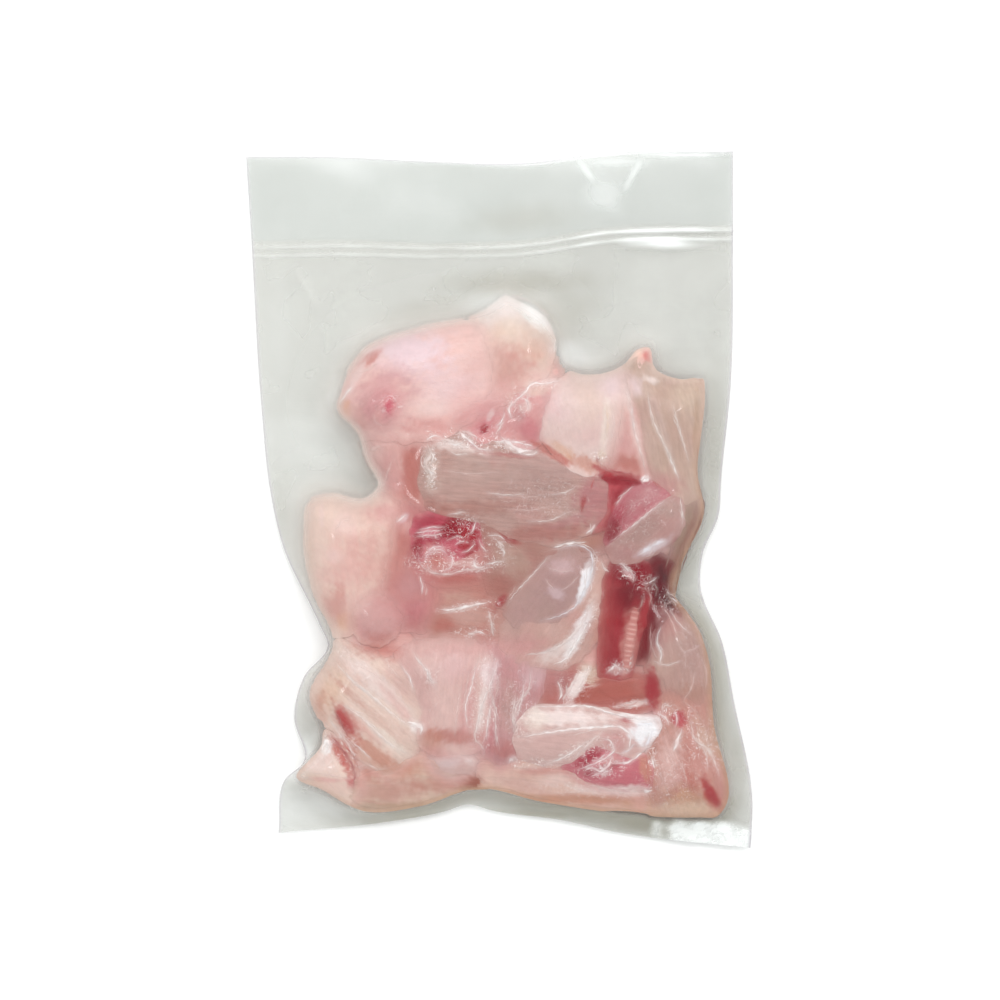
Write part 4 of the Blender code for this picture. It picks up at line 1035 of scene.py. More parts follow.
class Form:
    """A chunk's shape in plan and in height, before it is pressed against the others."""

    def __init__(self, index, chunk, field, depth):
        self.chunk, self.index = chunk, index
        self.field, self.depth = field, depth
        self.stains = rows(chunk.stains)
        points = place(rows(chunk.outline))
        after = np.roll(points, -1, axis=0)
        cross = points[:, 0] * after[:, 1] - after[:, 0] * points[:, 1]
        self.centre = ((points + after) * cross[:, None]).sum(0) / (3 * cross.sum())
        arm = points - self.centre
        angle = np.arctan2(arm[:, 1], arm[:, 0]) % TURN
        order = np.argsort(angle)
        angle, reach = angle[order], np.hypot(*arm.T)[order]
        angle = np.concatenate((angle[-3:] - TURN, angle, angle[:3] + TURN))
        reach = np.concatenate((reach[-3:], reach, reach[:3]))
        ring = np.column_stack((reach * np.cos(angle), reach * np.sin(angle)))
        share, run = np.linspace(0, 1, CURVE_POINTS), run_along(ring)
        straight = np.column_stack([np.interp(share * run[-1], run, ring[:, k]) for k in (0, 1)])
        curve = blend(along(ring, share), straight, OUTLINE_STRAIGHT)
        bearing = np.unwrap(np.arctan2(curve[:, 1], curve[:, 0]))
        bearing += TURN * round((angle[0] - bearing[0]) / TURN)
        self.bearings = np.linspace(0, TURN, BEARINGS)
        reach = np.interp(self.bearings, bearing, np.hypot(*curve.T))
        draw = np.random.default_rng(SEED + 500 + index)
        for waves in OUTLINE_WAVES:
            ragged = OUTLINE_RAGGED * reach.mean() * draw.uniform(0.3, 1.2)
            reach = reach + ragged * np.sin(waves * self.bearings + draw.uniform(0, TURN))
        self.reach = self.keep_inside(reach + chunk.spread * MM)
        first = ((self.centre - self.reach.max() - field.low) / FIELD_STEP).astype(int)
        last = ((self.centre + self.reach.max() - field.low) / FIELD_STEP).astype(int) + 2
        self.window = (slice(first[1], last[1]), slice(first[0], last[0]))

    def spot(self, bearing, away):
        """Plan positions this far away from the chunk's middle."""
        return self.centre[0] + away * np.cos(bearing), self.centre[1] + away * np.sin(bearing)

    def keep_inside(self, reach):
        """The reach at each bearing, shortened to where the fish's outline ends."""
        shares = np.linspace(1.0, 0.3, 57)[:, None]
        x, y = self.spot(self.bearings, shares * reach)
        inside = self.field.read(self.depth, x, y) > FISH_MARGIN
        return reach * shares[:, 0][np.argmax(inside, axis=0)]

    def rim(self, x, y):
        """0 at the chunk's middle and 1 on its outline."""
        dx, dy = x - self.centre[0], y - self.centre[1]
        bearing = np.arctan2(dy, dx) % TURN
        return np.hypot(dx, dy) / np.interp(bearing, self.bearings, self.reach)

    def grain(self, x, y):
        """Distances along the chunk's fibres and across them."""
        return turned(x - self.centre[0], y - self.centre[1], self.chunk.grain)

    def flakes(self, x, y):
        """How deep the steps between the flakes cut into the chunk's top."""
        if not self.chunk.flake:
            return 0.0
        across = self.grain(x, y)[1] + FLAKE_WAVER * ripple(x, y, 20 * MM, SEED + self.index)
        step = (across / (self.chunk.flake * MM) + 0.25) % 1.0
        return FLAKE_DEPTH * np.minimum(step, (1 - step) * 5) ** 1.5

    def top(self, x, y, rim):
        """Height of the chunk's top."""
        full = belly(rim, self.chunk.shoulder)
        crag = CRAG_HEIGHT * ripple(x, y, CRAG_SIZE, SEED + 100 + self.index)
        middle = MIDDLE_SHARE * self.chunk.top * MM
        rise = (self.chunk.top * MM + SURFACE_LIFT - middle + crag - self.flakes(x, y)) * full
        side = belly(1 - self.field.read(self.depth, x, y) / SIDE_ROUND, SIDE_SHAPE)
        return SKIRT_AT_FISH + (middle + rise - SKIRT_AT_FISH) * side

    def foot(self, x, y, rim, rim_height):
        """Height of the chunk's underside, which meets its top at the rim."""
        crag = FOOT_CRAG * (1 + ripple(x, y, CRAG_SIZE, SEED + 200 + self.index))
        flat = FOOT + crag * (1 - rim**2)
        return flat + (rim_height - flat) * (1 - belly(rim, FOOT_SHOULDER))

    def paint(self, x, y, upper):
        """The flesh's colour at each place. Its marks, painted highlights and painted shade show on
        the upper side only.
        """
        drift = ripple(x, y, 16 * MM, SEED + 300 + self.index)[..., None]
        colour = linear(self.chunk.tone) + 0 * drift
        deep = DEEPER.get(self.chunk.name, 1.0)
        colour = blend(colour, linear("pale"), np.clip(drift, 0, 1) * DRIFT_TO_PALE)
        colour = blend(colour, linear("pink"), np.clip(-drift, 0, 1) * DRIFT_TO_PINK)
        return stain_and_light(colour * deep, *picture(x, y), self.stains, deep, upper,
                     SEED + 400 + self.index)


class Pile:
    """All the chunks pressed together: their common surface and the colours that run over it."""

    def __init__(self, low, high):
        self.field = field = Field(low, high)
        x, y = field.x, field.y
        self.depth = depth = depth_inside(FISH_OUTLINE, x, y)
        self.forms = [Form(index, chunk, field, depth) for index, chunk in enumerate(CHUNKS)]
        order = sorted(self.forms, key=lambda form: -form.chunk.top)
        for rank, form in enumerate(order):
            clear = smooth(FIBROUS.get(form.chunk.name, FIBROUS_ELSEWHERE), 0.1, 0.4)
            drop = blend(CREASE_LEAST, CREASE_MOST, rank / len(order))
            form.drop = drop * blend(CREASE_VEILED, 1, clear)
        side = belly(1 - depth / SIDE_ROUND, SIDE_SHAPE)
        floor = np.where(depth > 0, SKIRT_AT_FISH + (GAP_FLOOR - SKIRT_AT_FISH) * side,
                         SKIRT_AT_FISH)
        union = floor.copy()
        self.foot = np.where(depth > 0, FOOT_CREASE, SKIRT_AT_FISH)
        for form in self.forms:
            part = form.window
            px, py = x[part], y[part]
            rim = form.rim(px, py)
            own = np.where(rim < 1, form.top(px, py, rim), 0)
            union[part] = np.maximum(union[part], own)
            below = form.foot(px, py, np.clip(rim, 0, 1), FOOT_RIM)
            self.foot[part] = np.where(rim < 1, np.minimum(self.foot[part], below), self.foot[part])
        inside = (depth > 0).astype(float)
        filled = settle(union, union, CREASE_ROUNDS, 0)
        self.filled = soften(filled[..., None], inside, SURFACE_ROUNDS)[..., 0]
        self.top, colour = floor.copy(), np.tile(linear("rosy"), (*x.shape, 1))
        winner = -np.ones(x.shape, int)
        for form in self.forms:
            part = form.window
            px, py = x[part], y[part]
            rim = form.rim(px, py)
            own = np.where(rim < 1, self.pressed(form, px, py, rim), 0)
            wins = own > self.top[part]
            self.top[part] = np.where(wins, own, self.top[part])
            shown = form.paint(px, py, np.ones(px.shape))
            colour[part] = np.where(wins[..., None], shown, colour[part])
            winner[part] = np.where(wins, form.index, winner[part])
        self.colour = soften(colour, inside, SOFT_ROUNDS)
        self.blurred = soften(self.colour, inside, BLUR_ROUNDS)
        self.seam = self.seams(winner)

    def seams(self, winner):
        """How far colours run over the seen edges between chunks: most at the edge itself."""
        soft = [MARKED_EDGES.get(chunk.name, MARKED_ELSEWHERE) for chunk in CHUNKS]
        soft = np.array(soft + [MARKED_ELSEWHERE])[winner]
        ways = [(way, axis) for axis in (0, 1) for way in (-1, 1)]
        seam = np.zeros(soft.shape)
        for way in ways:
            meeting = np.minimum(soft, np.roll(soft, *way))
            edge = np.roll(winner, *way) != winner
            seam = np.where(edge, np.maximum(seam, meeting), seam)
        for _ in range(SEAM_ROUNDS):
            beside = np.max([np.roll(seam, *way) for way in ways], axis=0)
            seam = np.maximum(seam, beside - SEAM_FADE)
        return seam

    def pressed(self, form, x, y, rim):
        """A chunk's top, pressed up into the creases beside it."""
        drawn = self.field.read(self.filled, x, y)
        return np.clip(form.top(x, y, rim), drawn - form.drop, drawn)

    def paint(self, form, x, y, upper):
        """A chunk's colour, which runs into its neighbours' near its edge."""
        own = form.paint(x, y, upper)
        seam = self.field.read(self.seam, x, y)
        hazy = smooth(seam, *SEAM_HAZY)[..., None]
        near = blend(self.field.read(self.colour, x, y), self.field.read(self.blurred, x, y), hazy)
        return self.finish(blend(own, near, (smooth(seam, 0, 1) * upper)[..., None]), x, y, upper)

    def finish(self, colour, x, y, upper):
        """What runs over all the chunks: washes, the pale edges beside strands and glints, and the
        rim paled under the film's haze, painted lighter to the upper left and darker to the lower
        right.
        """
        u, v = picture(x, y)
        # The fish's edge pales under the film's haze: painted lighter to the upper left and darker
        # to the lower right, as light and shade
        side = smooth((y - x) / MM, *RIM_TURN)[..., None]
        rim = blend(unscreen(RIM_LOWER_RIGHT), unscreen(RIM_UPPER_LEFT), side)
        veil_light_and_shade = RIM_STRENGTH * (1 - smooth(self.field.read(self.depth, x, y), 0, RIM_WIDTH))
        colour = blend(colour, rim, veil_light_and_shade[..., None])
        return halo(stain_and_light(colour, u, v, WASHES, 1.0, upper, SEED + 350), u, v, upper)


def put(name, data):
    """A new object in the scene."""
    thing = bpy.data.objects.new(name, data)
    bpy.context.scene.collection.objects.link(thing)
    return thing


def points_at(x, y, z):
    return np.column_stack((x.ravel(), y.ravel(), z.ravel()))


def add_mesh(name, vertices, faces, material, **attributes):
    """A smooth mesh, with a number, a vector or a colour at each of its points as attributes."""
    mesh = bpy.data.meshes.new(name)
    mesh.from_pydata(vertices.tolist(), [], faces)
    mesh.update()
    for key, values in attributes.items():
        values = np.asarray(values, np.float32).reshape(len(vertices), -1)
        if values.shape[1] == 1:
            layer = mesh.attributes.new(key, "FLOAT", "POINT")
            layer.data.foreach_set("value", values.ravel())
        elif key == "tone":
            layer = mesh.attributes.new(key, "FLOAT_COLOR", "POINT")
            opaque = np.column_stack((values, np.ones(len(values), np.float32)))
            layer.data.foreach_set("color", opaque.ravel())
        else:
            layer = mesh.attributes.new(key, "FLOAT_VECTOR", "POINT")
            layer.data.foreach_set("vector", values.ravel())
    mesh.shade_smooth()
    mesh.materials.append(material)
    return put(name, mesh)


def grid_faces(rows, columns, closed=False, flip=False):
    """Quads between rows of points. Closed rows join their last point to their first."""
    across = columns if closed else columns - 1
    i, j = np.meshgrid(np.arange(rows - 1), np.arange(across), indexing="ij")
    right = (j + 1) % columns
    quads = np.stack((i * columns + j, i * columns + right, (i + 1) * columns + right,
                      (i + 1) * columns + j), -1).reshape(-1, 4)
    return (quads[:, ::-1] if flip else quads).tolist()


def make_chunk(pile, form, material):
    """A closed lump of flesh: rings of points out over its top, round its rim and in below."""
    around = int(TURN * form.reach.mean() / RIM_STEP)
    over = int(form.reach.mean() / RING_STEP)
    shares = np.concatenate((
        1 - (1 - np.linspace(0.0, 1, over + 1)[1:]) ** RINGS_CLOSE_UP,
        np.linspace(1, 0, RINGS_BELOW + 2)[1:-1] ** 0.7,
    ))
    bearing = np.linspace(0, TURN, around, endpoint=False)
    reach = np.interp(bearing, form.bearings, form.reach)
    x, y = form.spot(bearing, shares[:, None] * reach)
    rim = np.broadcast_to(shares[:, None], x.shape)
    height = pile.pressed(form, x, y, rim)
    below = slice(over, None)
    height[below] = form.foot(x[below], y[below], rim[below], height[over - 1])
    cx, cy = form.centre[:1], form.centre[1:]
    peak = pile.pressed(form, cx, cy, np.zeros(1))
    low = form.foot(cx, cy, np.zeros(1), peak)
    points = np.vstack((points_at(x, y, height), points_at(cx, cy, peak), points_at(cx, cy, low)))
    rings = len(shares)
    faces = grid_faces(rings, around, closed=True, flip=True)
    top_pole, low_pole, last = rings * around, rings * around + 1, (rings - 1) * around
    for j in range(around):
        following = (j + 1) % around
        faces.append([top_pole, j, following])
        faces.append([last + following, last + j, low_pole])
    upper = np.concatenate((np.repeat(np.arange(rings) < over, around), [1, 0])).astype(float)
    px, py = points[:, 0], points[:, 1]
    grain = np.column_stack((*form.grain(px, py), points[:, 2])) / MM
    fibrous = FIBROUS.get(form.chunk.name, FIBROUS_ELSEWHERE)
    return add_mesh("chunk_" + form.chunk.name, points, faces, material, grain=grain,
                    tone=pile.paint(form, px, py, upper), crumpled=crumpled(px, py) * upper,
                    fibrous=np.full(len(points), fibrous))


def make_core(pile, material):
    """The flesh deep between the chunks, which closes the gaps under their edges."""
    coarse = (slice(None, None, 2), slice(None, None, 2))
    x, y = pile.field.x[coarse], pile.field.y[coarse]
    inner = pile.depth[coarse] - CORE_INSET
    side = belly(1 - np.clip(inner, 0, None) / CORE_ROUND, 2.0)
    top = pile.filled[coarse] - CORE_DROP + 0.1 * MM * ripple(x, y, 9 * MM, SEED + 7)
    top = CORE_EDGE + (top - CORE_EDGE) * side
    low = CORE_EDGE - (CORE_EDGE - CORE_LOW) * side
    inside = inner > 0
    count = int(inside.sum())
    number = -np.ones(inside.shape, int)
    number[inside] = np.arange(count)
    faces, edges = [], {}
    for i in range(inside.shape[0] - 1):
        for j in range(inside.shape[1] - 1):
            quad = [int(number[at]) for at in ((i, j), (i, j + 1), (i + 1, j + 1), (i + 1, j))]
            if min(quad) < 0:
                continue
            faces.append(quad)
            faces.append([n + count for n in reversed(quad)])
            for a, b in zip(quad, quad[1:] + quad[:1]):
                if (b, a) in edges:
                    del edges[(b, a)]
                else:
                    edges[(a, b)] = True
    faces += [[b, a, a + count, b + count] for a, b in edges]
    points = np.vstack([points_at(x[inside], y[inside], z[inside]) for z in (top, low)])
    px, py = points[:, 0], points[:, 1]
    tone = pile.finish(pile.field.read(pile.colour, px, py), px, py, np.ones(len(points)))
    return add_mesh("inner_flesh", points, faces, material, tone=tone, grain=points / MM,
                    fibrous=np.full(len(points), FIBROUS_ELSEWHERE), crumpled=crumpled(px, py))


def ribbons():
    """Each strand whole, and beside the wide light ones a few finer and shorter lines, painted
    highlights of crinkled film.
    """
    draw = np.random.default_rng(SEED + 800)
    lines = [(path, width, tone, 0.0, 1.0, 0.0) for *path, width, tone in STRANDS_AND_GLINTS]
    for *path, width, tone in STRANDS_AND_GLINTS:
        if tone not in LINED_TONES or width < LINED_WIDTH:
            continue
        for _ in range(3 if width >= THREE_LINES_WIDTH else 2):
            first = draw.uniform(0, 0.6)
            last = min(1.0, first + draw.uniform(0.25, 0.5))
            off = draw.choice((-1, 1)) * (0.5 * width + draw.uniform(0.4, 3.0))
            lines.append((path, draw.uniform(0.9, 1.5), "membrane", first, last, off))
    return lines


def line_length(line):
    return np.hypot(*np.diff(line, axis=0).T).sum()


def strip_middle(line, share):
    """Points along a line, and at each of them the direction to its side."""
    middle = along(line, share)
    heading = np.gradient(middle, axis=0)
    heading /= np.maximum(np.hypot(*heading.T), 1e-9)[:, None]
    return middle, np.column_stack((-heading[:, 1], heading[:, 0]))


def strip_places(middle, side, half, across):
    """Plan positions of a strip's points, in rows across it."""
    return [middle[:, k, None] + side[:, k, None] * half[:, None] * across for k in (0, 1)]


def wobble(draw, distance, shortest, longest):
    """A wave along a strand, whose pitch and start are left to chance."""
    return np.sin(distance / draw.uniform(shortest, longest) + draw.uniform(0, 6))


def make_strands(pile, material):
    """Each membrane, flake edge, thread and painted glint, flattened onto the fish, all as one
    piece.
    """
    all_points, all_tones, faces, start = [], [], [], 0
    profile = np.array((-1.0, -0.62, 0.0, 0.62, 1.0))
    lift = np.array((-0.35, 0.55, 1.0, 0.55, -0.35))
    cover = np.array((0.1, 0.75, 1.0, 0.75, 0.1))
    for index, (path, width, tone, start_at, end_at, off) in enumerate(ribbons()):
        line = place(path)
        length = (end_at - start_at) * line_length(line)
        count = max(6, int(length / STRAND_STEP))
        share = np.linspace(0, 1, count)
        middle, side = strip_middle(line, blend(start_at, end_at, share))
        draw = np.random.default_rng(SEED + 900 + index)
        middle = middle + side * off * POINT * (0.7 + 0.5 * np.sin(3 * share + off))[:, None]
        distance = share * (count * 0.55)
        uneven = 1 + 0.30 * wobble(draw, distance, 0.8, 1.4)
        uneven = uneven + 0.22 * wobble(draw, distance, 0.35, 0.6)
        fading = 0.8 + 0.2 * wobble(draw, distance, 0.7, 1.2)
        taper = np.sin(math.pi * np.clip(share, 0.015, 0.985)) ** 0.7
        half = STRAND_WIDTH * width * POINT / 2 * uneven * taper
        stray = np.sin(distance / draw.uniform(0.5, 0.9)) * STRAND_STRAY
        middle = middle + side * stray[:, None]
        x, y = strip_places(middle, side, half, profile)
        tall = np.minimum(half * 0.5, STRAND_RISE)[:, None]
        z = pile.field.read(pile.top, x, y) + tall * lift
        flesh = pile.field.read(pile.colour, x, y)
        clear = STRAND_STRENGTH.get(tone, STRAND_ELSEWHERE) * cover
        strength = clear * (fading * taper**0.5)[:, None]
        tones = blend(flesh, linear(tone), strength[..., None])
        all_points.append(points_at(x, y, z))
        all_tones.append(tones.reshape(-1, 3))
        faces.extend([[n + start for n in face] for face in grid_faces(count, 5, flip=True)])
        start += 5 * count
    points = np.vstack(all_points)
    return add_mesh("membranes_and_glints", points, faces, material, tone=np.vstack(all_tones),
                    grain=points / MM)


def make_spine(pile, material):
    """The ridged strip of cartilage along the dark muscle."""
    line = place(SPINE_TICKS)
    length = line_length(line)
    count = int(length / (0.3 * MM))
    share = np.linspace(0, 1, count)
    middle, side = strip_middle(line, share)
    across = np.linspace(-1, 1, 13)
    half = SPINE_WIDTH * POINT / 2 * (0.6 + 0.4 * np.sin(math.pi * share)) ** 0.8
    half = half * (1 + 0.1 * np.sin(share * 23))
    x, y = strip_places(middle, side, half, across)
    phase = share * length / (TICK_STEP * POINT) + 0.15 * np.sin(share * 17)
    tick = np.cos(TURN * phase)[:, None] + 0.25 * across
    ridge = smooth(tick, -0.2, 1.0) * (1 - across**2)
    fade = np.sin(math.pi * np.clip(share, 0.02, 0.98))[:, None] ** 0.3
    dome = 0.35 * MM * (1 - across**2) ** 0.7 * fade
    height = pile.field.read(pile.top, x, y) - 0.15 * MM + dome + 0.16 * MM * ridge
    flesh = pile.field.read(pile.colour, x, y)
    cover = ((0.25 + 0.55 * ridge) * (1 - across**4) * fade)[..., None]
    tone = blend(blend(flesh, linear("salmon"), 0.4), linear("rosy"), cover)
    points = points_at(x, y, height)
    return add_mesh("cartilage", points, grid_faces(count, 13, flip=True), material, tone=tone,
                    grain=points / MM)


# Film
def patch(near, far, left, right, s, t):
    """A surface stretched between four edges: s runs along near and far, t from near to far."""
    s, t = s[..., None], t[..., None]
    corners = ((1 - s) * (1 - t) * left[0] + s * (1 - t) * right[0]
               + (1 - s) * t * left[1] + s * t * right[1])
    return (1 - t) * near + t * far + (1 - s) * left[2] + s * right[2] - corners


def edge_ends(curve, t):
    return along(curve, np.array(0.0)), along(curve, np.array(1.0)), along(curve, t)


def body_row(s, t):
    t = np.full_like(s, t)
    left, right = edge_ends(LEFT_EDGE, t), edge_ends(RIGHT_EDGE, t)
    return patch(along(BOTTOM_EDGE, s), along(SEAL_LINE, s), left, right, s, t)


def header_row(s, t):
    t = np.full_like(s, t)
    left = edge_ends((SEAL_LINE[0], MOUTH_EDGE[0]), t)
    right = edge_ends((SEAL_LINE[-1], MOUTH_EDGE[-1]), t)
    return patch(along(SEAL_LINE, s), along(MOUTH_EDGE, s), left, right, s, t)


def film_plan(share):
    """Plan positions of a ply's grid, its seal ribs, and how far up the header each row is."""
    columns = np.linspace(0, 1, int(FILM_COLUMNS * share) + 1)
    body = LEFT_EDGE[-1][1] - LEFT_EDGE[0][1]
    header = MOUTH_EDGE[0][1] - SEAL_LINE[0][1]
    body_end, seal_end = 1 + SEAL_ROWS[0][0] / body, SEAL_ROWS[-1][0] / header
    bands = [(body_row(columns, t), 0.0, 0.0)
             for t in np.linspace(0, body_end, int(FILM_ROWS * share), endpoint=False)]
    for offset, height in SEAL_ROWS:
        row = (body_row(columns, 1 + offset / body) if offset < 0
               else header_row(columns, offset / header))
        bands.append((row, height * MM, 0.0))
    bands += [(header_row(columns, t), 0.0, t)
              for t in np.linspace(seal_end, 1, int(HEADER_ROWS * share) + 1)[1:]]
    plan, ribs, mouth = (np.array(values) for values in zip(*bands))
    return plan * MM, ribs[:, None], mouth[:, None], columns


def from_sides(plan, columns):
    """How far each point of a ply is from the nearer side."""
    width = np.hypot(*(plan[:, -1] - plan[:, 0]).T)[:, None]
    return np.minimum(columns, 1 - columns)[None, :] * width


def far_off(depth):
    """1 well away from the fish, 0 near it."""
    return 1 - smooth(depth, *FAR_FROM_FISH)


def pleats(x, y):
    """How high the sharp folds stand."""
    total = np.zeros(x.shape)
    for *ends, half_width, height in PLEATS:
        (x0, y0), (x1, y1) = place(ends)
        run, rise = x1 - x0, y1 - y0
        share = share_along(x, y, x0, y0, run, rise)
        bow = PLEAT_BOW * half_width * MM * np.sin(share * 5)
        off = ((y - y0) * run - (x - x0) * rise) / math.hypot(run, rise) + bow
        fade = np.sin(math.pi * np.clip(share, 0, 1)) ** 0.7
        total = total + height * MM * fade * swell(off, 0, half_width * MM)
    return total


def crimp_amount(x, y):
    """How crinkled the film is: the lower right corner."""
    off = oval(*picture(x, y), *CRIMPED_CORNER) + 0.13 * ripple(x, y, 6 * MM, SEED + 23)
    return 1 - smooth(off, *CRIMPED_FADE)


def lumps(x, y, height, size, more):
    return height * ripple(x, y, size, SEED + more)


def skirt_height(x, y, depth):
    """Height of the skirt and the header, halfway between the plies."""
    wave = SKIRT_REST + SKIRT_UNEVEN * (1 + ripple(x, y, SKIRT_WAVE, SEED))
    rise = np.clip((y - HEADER_FROM) / HEADER_RISE, 0, 1)
    for middle, half_width, height in HEADER_WAVES:
        wave = wave + rise * height * MM * swell(x / MM, middle, half_width)
    near = np.clip(1 + depth / FISH_REACH, 0, 1) ** 2.2
    creases = sum(np.abs(lumps(x, y, *row)) for row in CREASES) * crimp_amount(x, y)
    folds = (pleats(x, y) + creases + lumps(x, y, *FLUTTER)) * (1 - near)
    folds = folds + lumps(x, y, *DRAWN_FOLDS) * np.sin(math.pi * near)
    above = wave + (SKIRT_AT_FISH - wave) * near + folds - SKIRT_LEAST
    return SKIRT_LEAST + (above + np.hypot(above, SKIRT_SOFT)) / 2


def film_glare_and_shade(x, y):
    """How much the film's painted glare and light whiten it, how much its painted shade darkens it,
    and how much hazier it is there.
    """
    u, v = picture(x, y)
    white, dark, haze = np.zeros(x.shape), np.zeros(x.shape), np.zeros(x.shape)
    edge = 0.12 * ripple(u, v, 22, SEED + 43)
    for amount, light, extra in ovals(u, v, FILM_GLARE_AND_SHADE, GLARE_AND_SHADE_FADE, edge):
        white = np.maximum(white, amount * max(light, 0))
        dark = np.maximum(dark, amount * max(-light, 0))
        haze = haze + amount * extra
    return white, dark, haze


def film_on_fish(x, y):
    """What share of the film's haze over the fish is left, and how much is added."""
    left, added = np.ones(x.shape), np.zeros(x.shape)
    for amount, extra in ovals(*picture(x, y), FILM_ON_FISH, ON_FISH_FADE):
        left = np.minimum(left, 1 + min(extra, 0) * amount)
        added = added + max(extra, 0) * amount
    return left, added


def upper_left(x, y):
    """1 on the pack's upper left, where the film's haze blurs the fish's edge and light is painted
    near it, 0 on the other.
    """
    return smooth((y - x) / MM, *FILM_TURN)


def in_header(mouth):
    return smooth(mouth, 0, 0.05)


def tint(tone, colour, amount):
    """A tone blended towards a colour by an amount at each place."""
    return blend(tone, np.array(colour), amount[..., None])


def film_look(x, y, depth, mouth, contact, wall, edge, rib):
    """How hazy the film is at each place, its tone there with its painted light, glow, glare and
    shade, and how crinkled it is.
    """
    header = np.broadcast_to(in_header(mouth), x.shape)
    body, side, crimp = 1 - header, upper_left(x, y), crimp_amount(x, y)
    across, down = x / MM, -y / MM
    cloud = ripple(x, y, 60 * MM, SEED + 41) + 0.5 * ripple(x, y, 18 * MM, SEED + 42)
    # Painted glare and light whiten the film, painted shade darkens it
    white, dark, extra = film_glare_and_shade(x, y)
    haze = blend(HAZE_BODY, HAZE_HEADER, header) + 0.012 * cloud + extra
    haze = blend(haze, HAZE_CLEAR, contact)
    tone = tint(np.array(FILM_BODY), FILM_HEADER, header)
    # Painted shade: the film darkens towards the right
    tone = tone * (0.99 - 0.05 * x / (100 * MM))[..., None]
    # Painted light: near the fish, the film is lighter on the upper left
    tone = tint(tone, FILM_LIT_NEAR_FISH, smooth(depth, *NEAR_FISH) * body * side)
    right = smooth(across, *SHADED_X) * smooth(down, *SHADED_FROM) * (1 - smooth(down, *SHADED_TO))
    below = smooth(down, *BELOW_FROM) * smooth(across, *BELOW_X)
    shaded = smooth(depth, *SHADED_NEAR) * body * np.maximum(right, below)
    tone = tint(tone, FILM_SHADE, np.maximum(dark, 0.8 * shaded))
    haze = haze + HAZE_SHADED * shaded * (1 - contact)
    # Painted glow along the fish's edge on the upper left: lighter and hazier
    rim = side * swell(depth, *RIM_BAND) * body
    tone = tint(tone, FILM_RIM_GLOW, RIM_TINT * rim)
    haze = haze + RIM_HAZE * rim
    left, added = film_on_fish(x, y)
    haze = haze * blend(1.0, left, contact) + added * contact
    haze = haze * (1 - wall * blend(*WALL_CLEARED, side))
    # The steep wall takes the tone over the fish, painted lighter on the upper left like the glow
    tone = tint(tone, tint(np.array(FILM_OVER_FISH), FILM_RIM_GLOW, side), WALL_TINT * wall)
    over = smooth(depth, *OVER_FISH) * (1 - smooth(added, 0, 0.1))
    tone = tint(tone, FILM_OVER_FISH, over)
    # Painted glare and light at the white marks; the crinkled corner whitens, partly by its
    # crinkles and partly as painted sparkle
    tone = tint(tone, FILM_GLARE_WHITE, np.maximum(white, crimp))
    # Painted highlights along the seal's ribs: whiter and hazier
    ribbed = rib * (0.75 + 0.35 * ripple(x, y, 16 * MM, SEED + 44))
    tone = tint(tint(tone, FILM_GLARE_WHITE, ribbed), FILM_EDGE, edge)
    shards = np.abs(ripple(x, y, 3.2 * MM, SEED + 45))
    haze = haze + (0.28 + 0.25 * shards) * crimp + HAZE_RIBS * ribbed + HAZE_EDGE * edge
    return haze, tone, crimp


def make_front(pile, material):
    """The upper ply, drawn tight over the fish."""
    plan, ribs, mouth, columns = film_plan(1.0)
    x, y = plan[..., 0], plan[..., 1]
    depth = pile.field.read(pile.depth, x, y)
    fish = pile.field.read(pile.top, x, y)
    beside = [pile.field.read(pile.top, x + dx * MM, y + dy * MM) for dx, dy in BESIDE]
    highest = np.maximum(fish, np.max(beside, axis=0))
    skirt = skirt_height(x, y, depth)
    lips = MOUTH_LIPS * mouth**3 * swell(x / MM, *UPPER_LIP)
    half = PLY_GAP / 2 + lips
    over = np.where(depth > 2 * MM, fish, highest)
    on_fish = depth > -1 * MM
    least = np.where(on_fish, np.maximum(over + FILM_OVER, skirt + half), skirt + half)
    close = np.maximum(far_off(depth), smooth(depth, 0, 5 * MM))
    smoothed = blend(widened(least, WIDE_ROUNDS), widened(least, 2), close)
    least = np.where(on_fish, np.maximum(smoothed, over + FILM_LEAST), smoothed)
    ribs = ribs * blend(0.5, 1.0, smooth(x / MM, -20, 60))
    tight = settle(least, least, TIGHT_ROUNDS, TIGHT_PULL)
    height = blend(least, tight, smooth(depth, -2 * MM, 1.5 * MM)) + ribs
    cling = np.exp(-np.clip(height - fish - FILM_OVER, 0, None) / (0.8 * MM))
    reach = blend(*VEIL_REACH, upper_left(x, y))
    contact = (0.86 + 0.14 * cling) * smooth(depth / reach, -0.15, 1)
    bridged = (1 - cling) * (depth > 1.0 * MM)
    height = height + BRIDGE_RIPPLE * ripple(x, y, 5 * MM, SEED + 31) * bridged
    from_side = from_sides(plan, columns)
    seal = 1 - smooth(from_side, SEAL_WIDTH * 0.92, SEAL_WIDTH)
    from_end = np.arange(len(plan))[:, None] * (BODY_LENGTH / FILM_ROWS) + 0 * x
    seal = np.maximum(seal, 1 - smooth(from_end, *LOW_SEAL))
    rib = ribs / RIB_HEIGHT + 0 * x
    # The cut edges keep their own darker tone; along the mouth it also serves as painted shade over
    # the floor, which is lit more near the film's edge
    edge = np.maximum(1 - smooth(from_side, *CUT_EDGE), smooth(mouth, 0.965, 0.99))
    wall = smooth(height - skirt, *WALL_RISE) * (1 - smooth(depth, *WALL_END))
    haze, tone, crimp = film_look(x, y, depth, mouth, contact, wall, edge, rib)
    matte = smooth(depth, *MATTE_FROM) * (1 - smooth(depth, *MATTE_TO))
    matte = np.maximum(matte * (0.6 + 0.4 * upper_left(x, y)), edge)
    return add_mesh("film_front", points_at(x, y, height), grid_faces(*x.shape), material,
                    haze=haze, seal=seal, crimp=crimp, matte=matte, tone=tone)


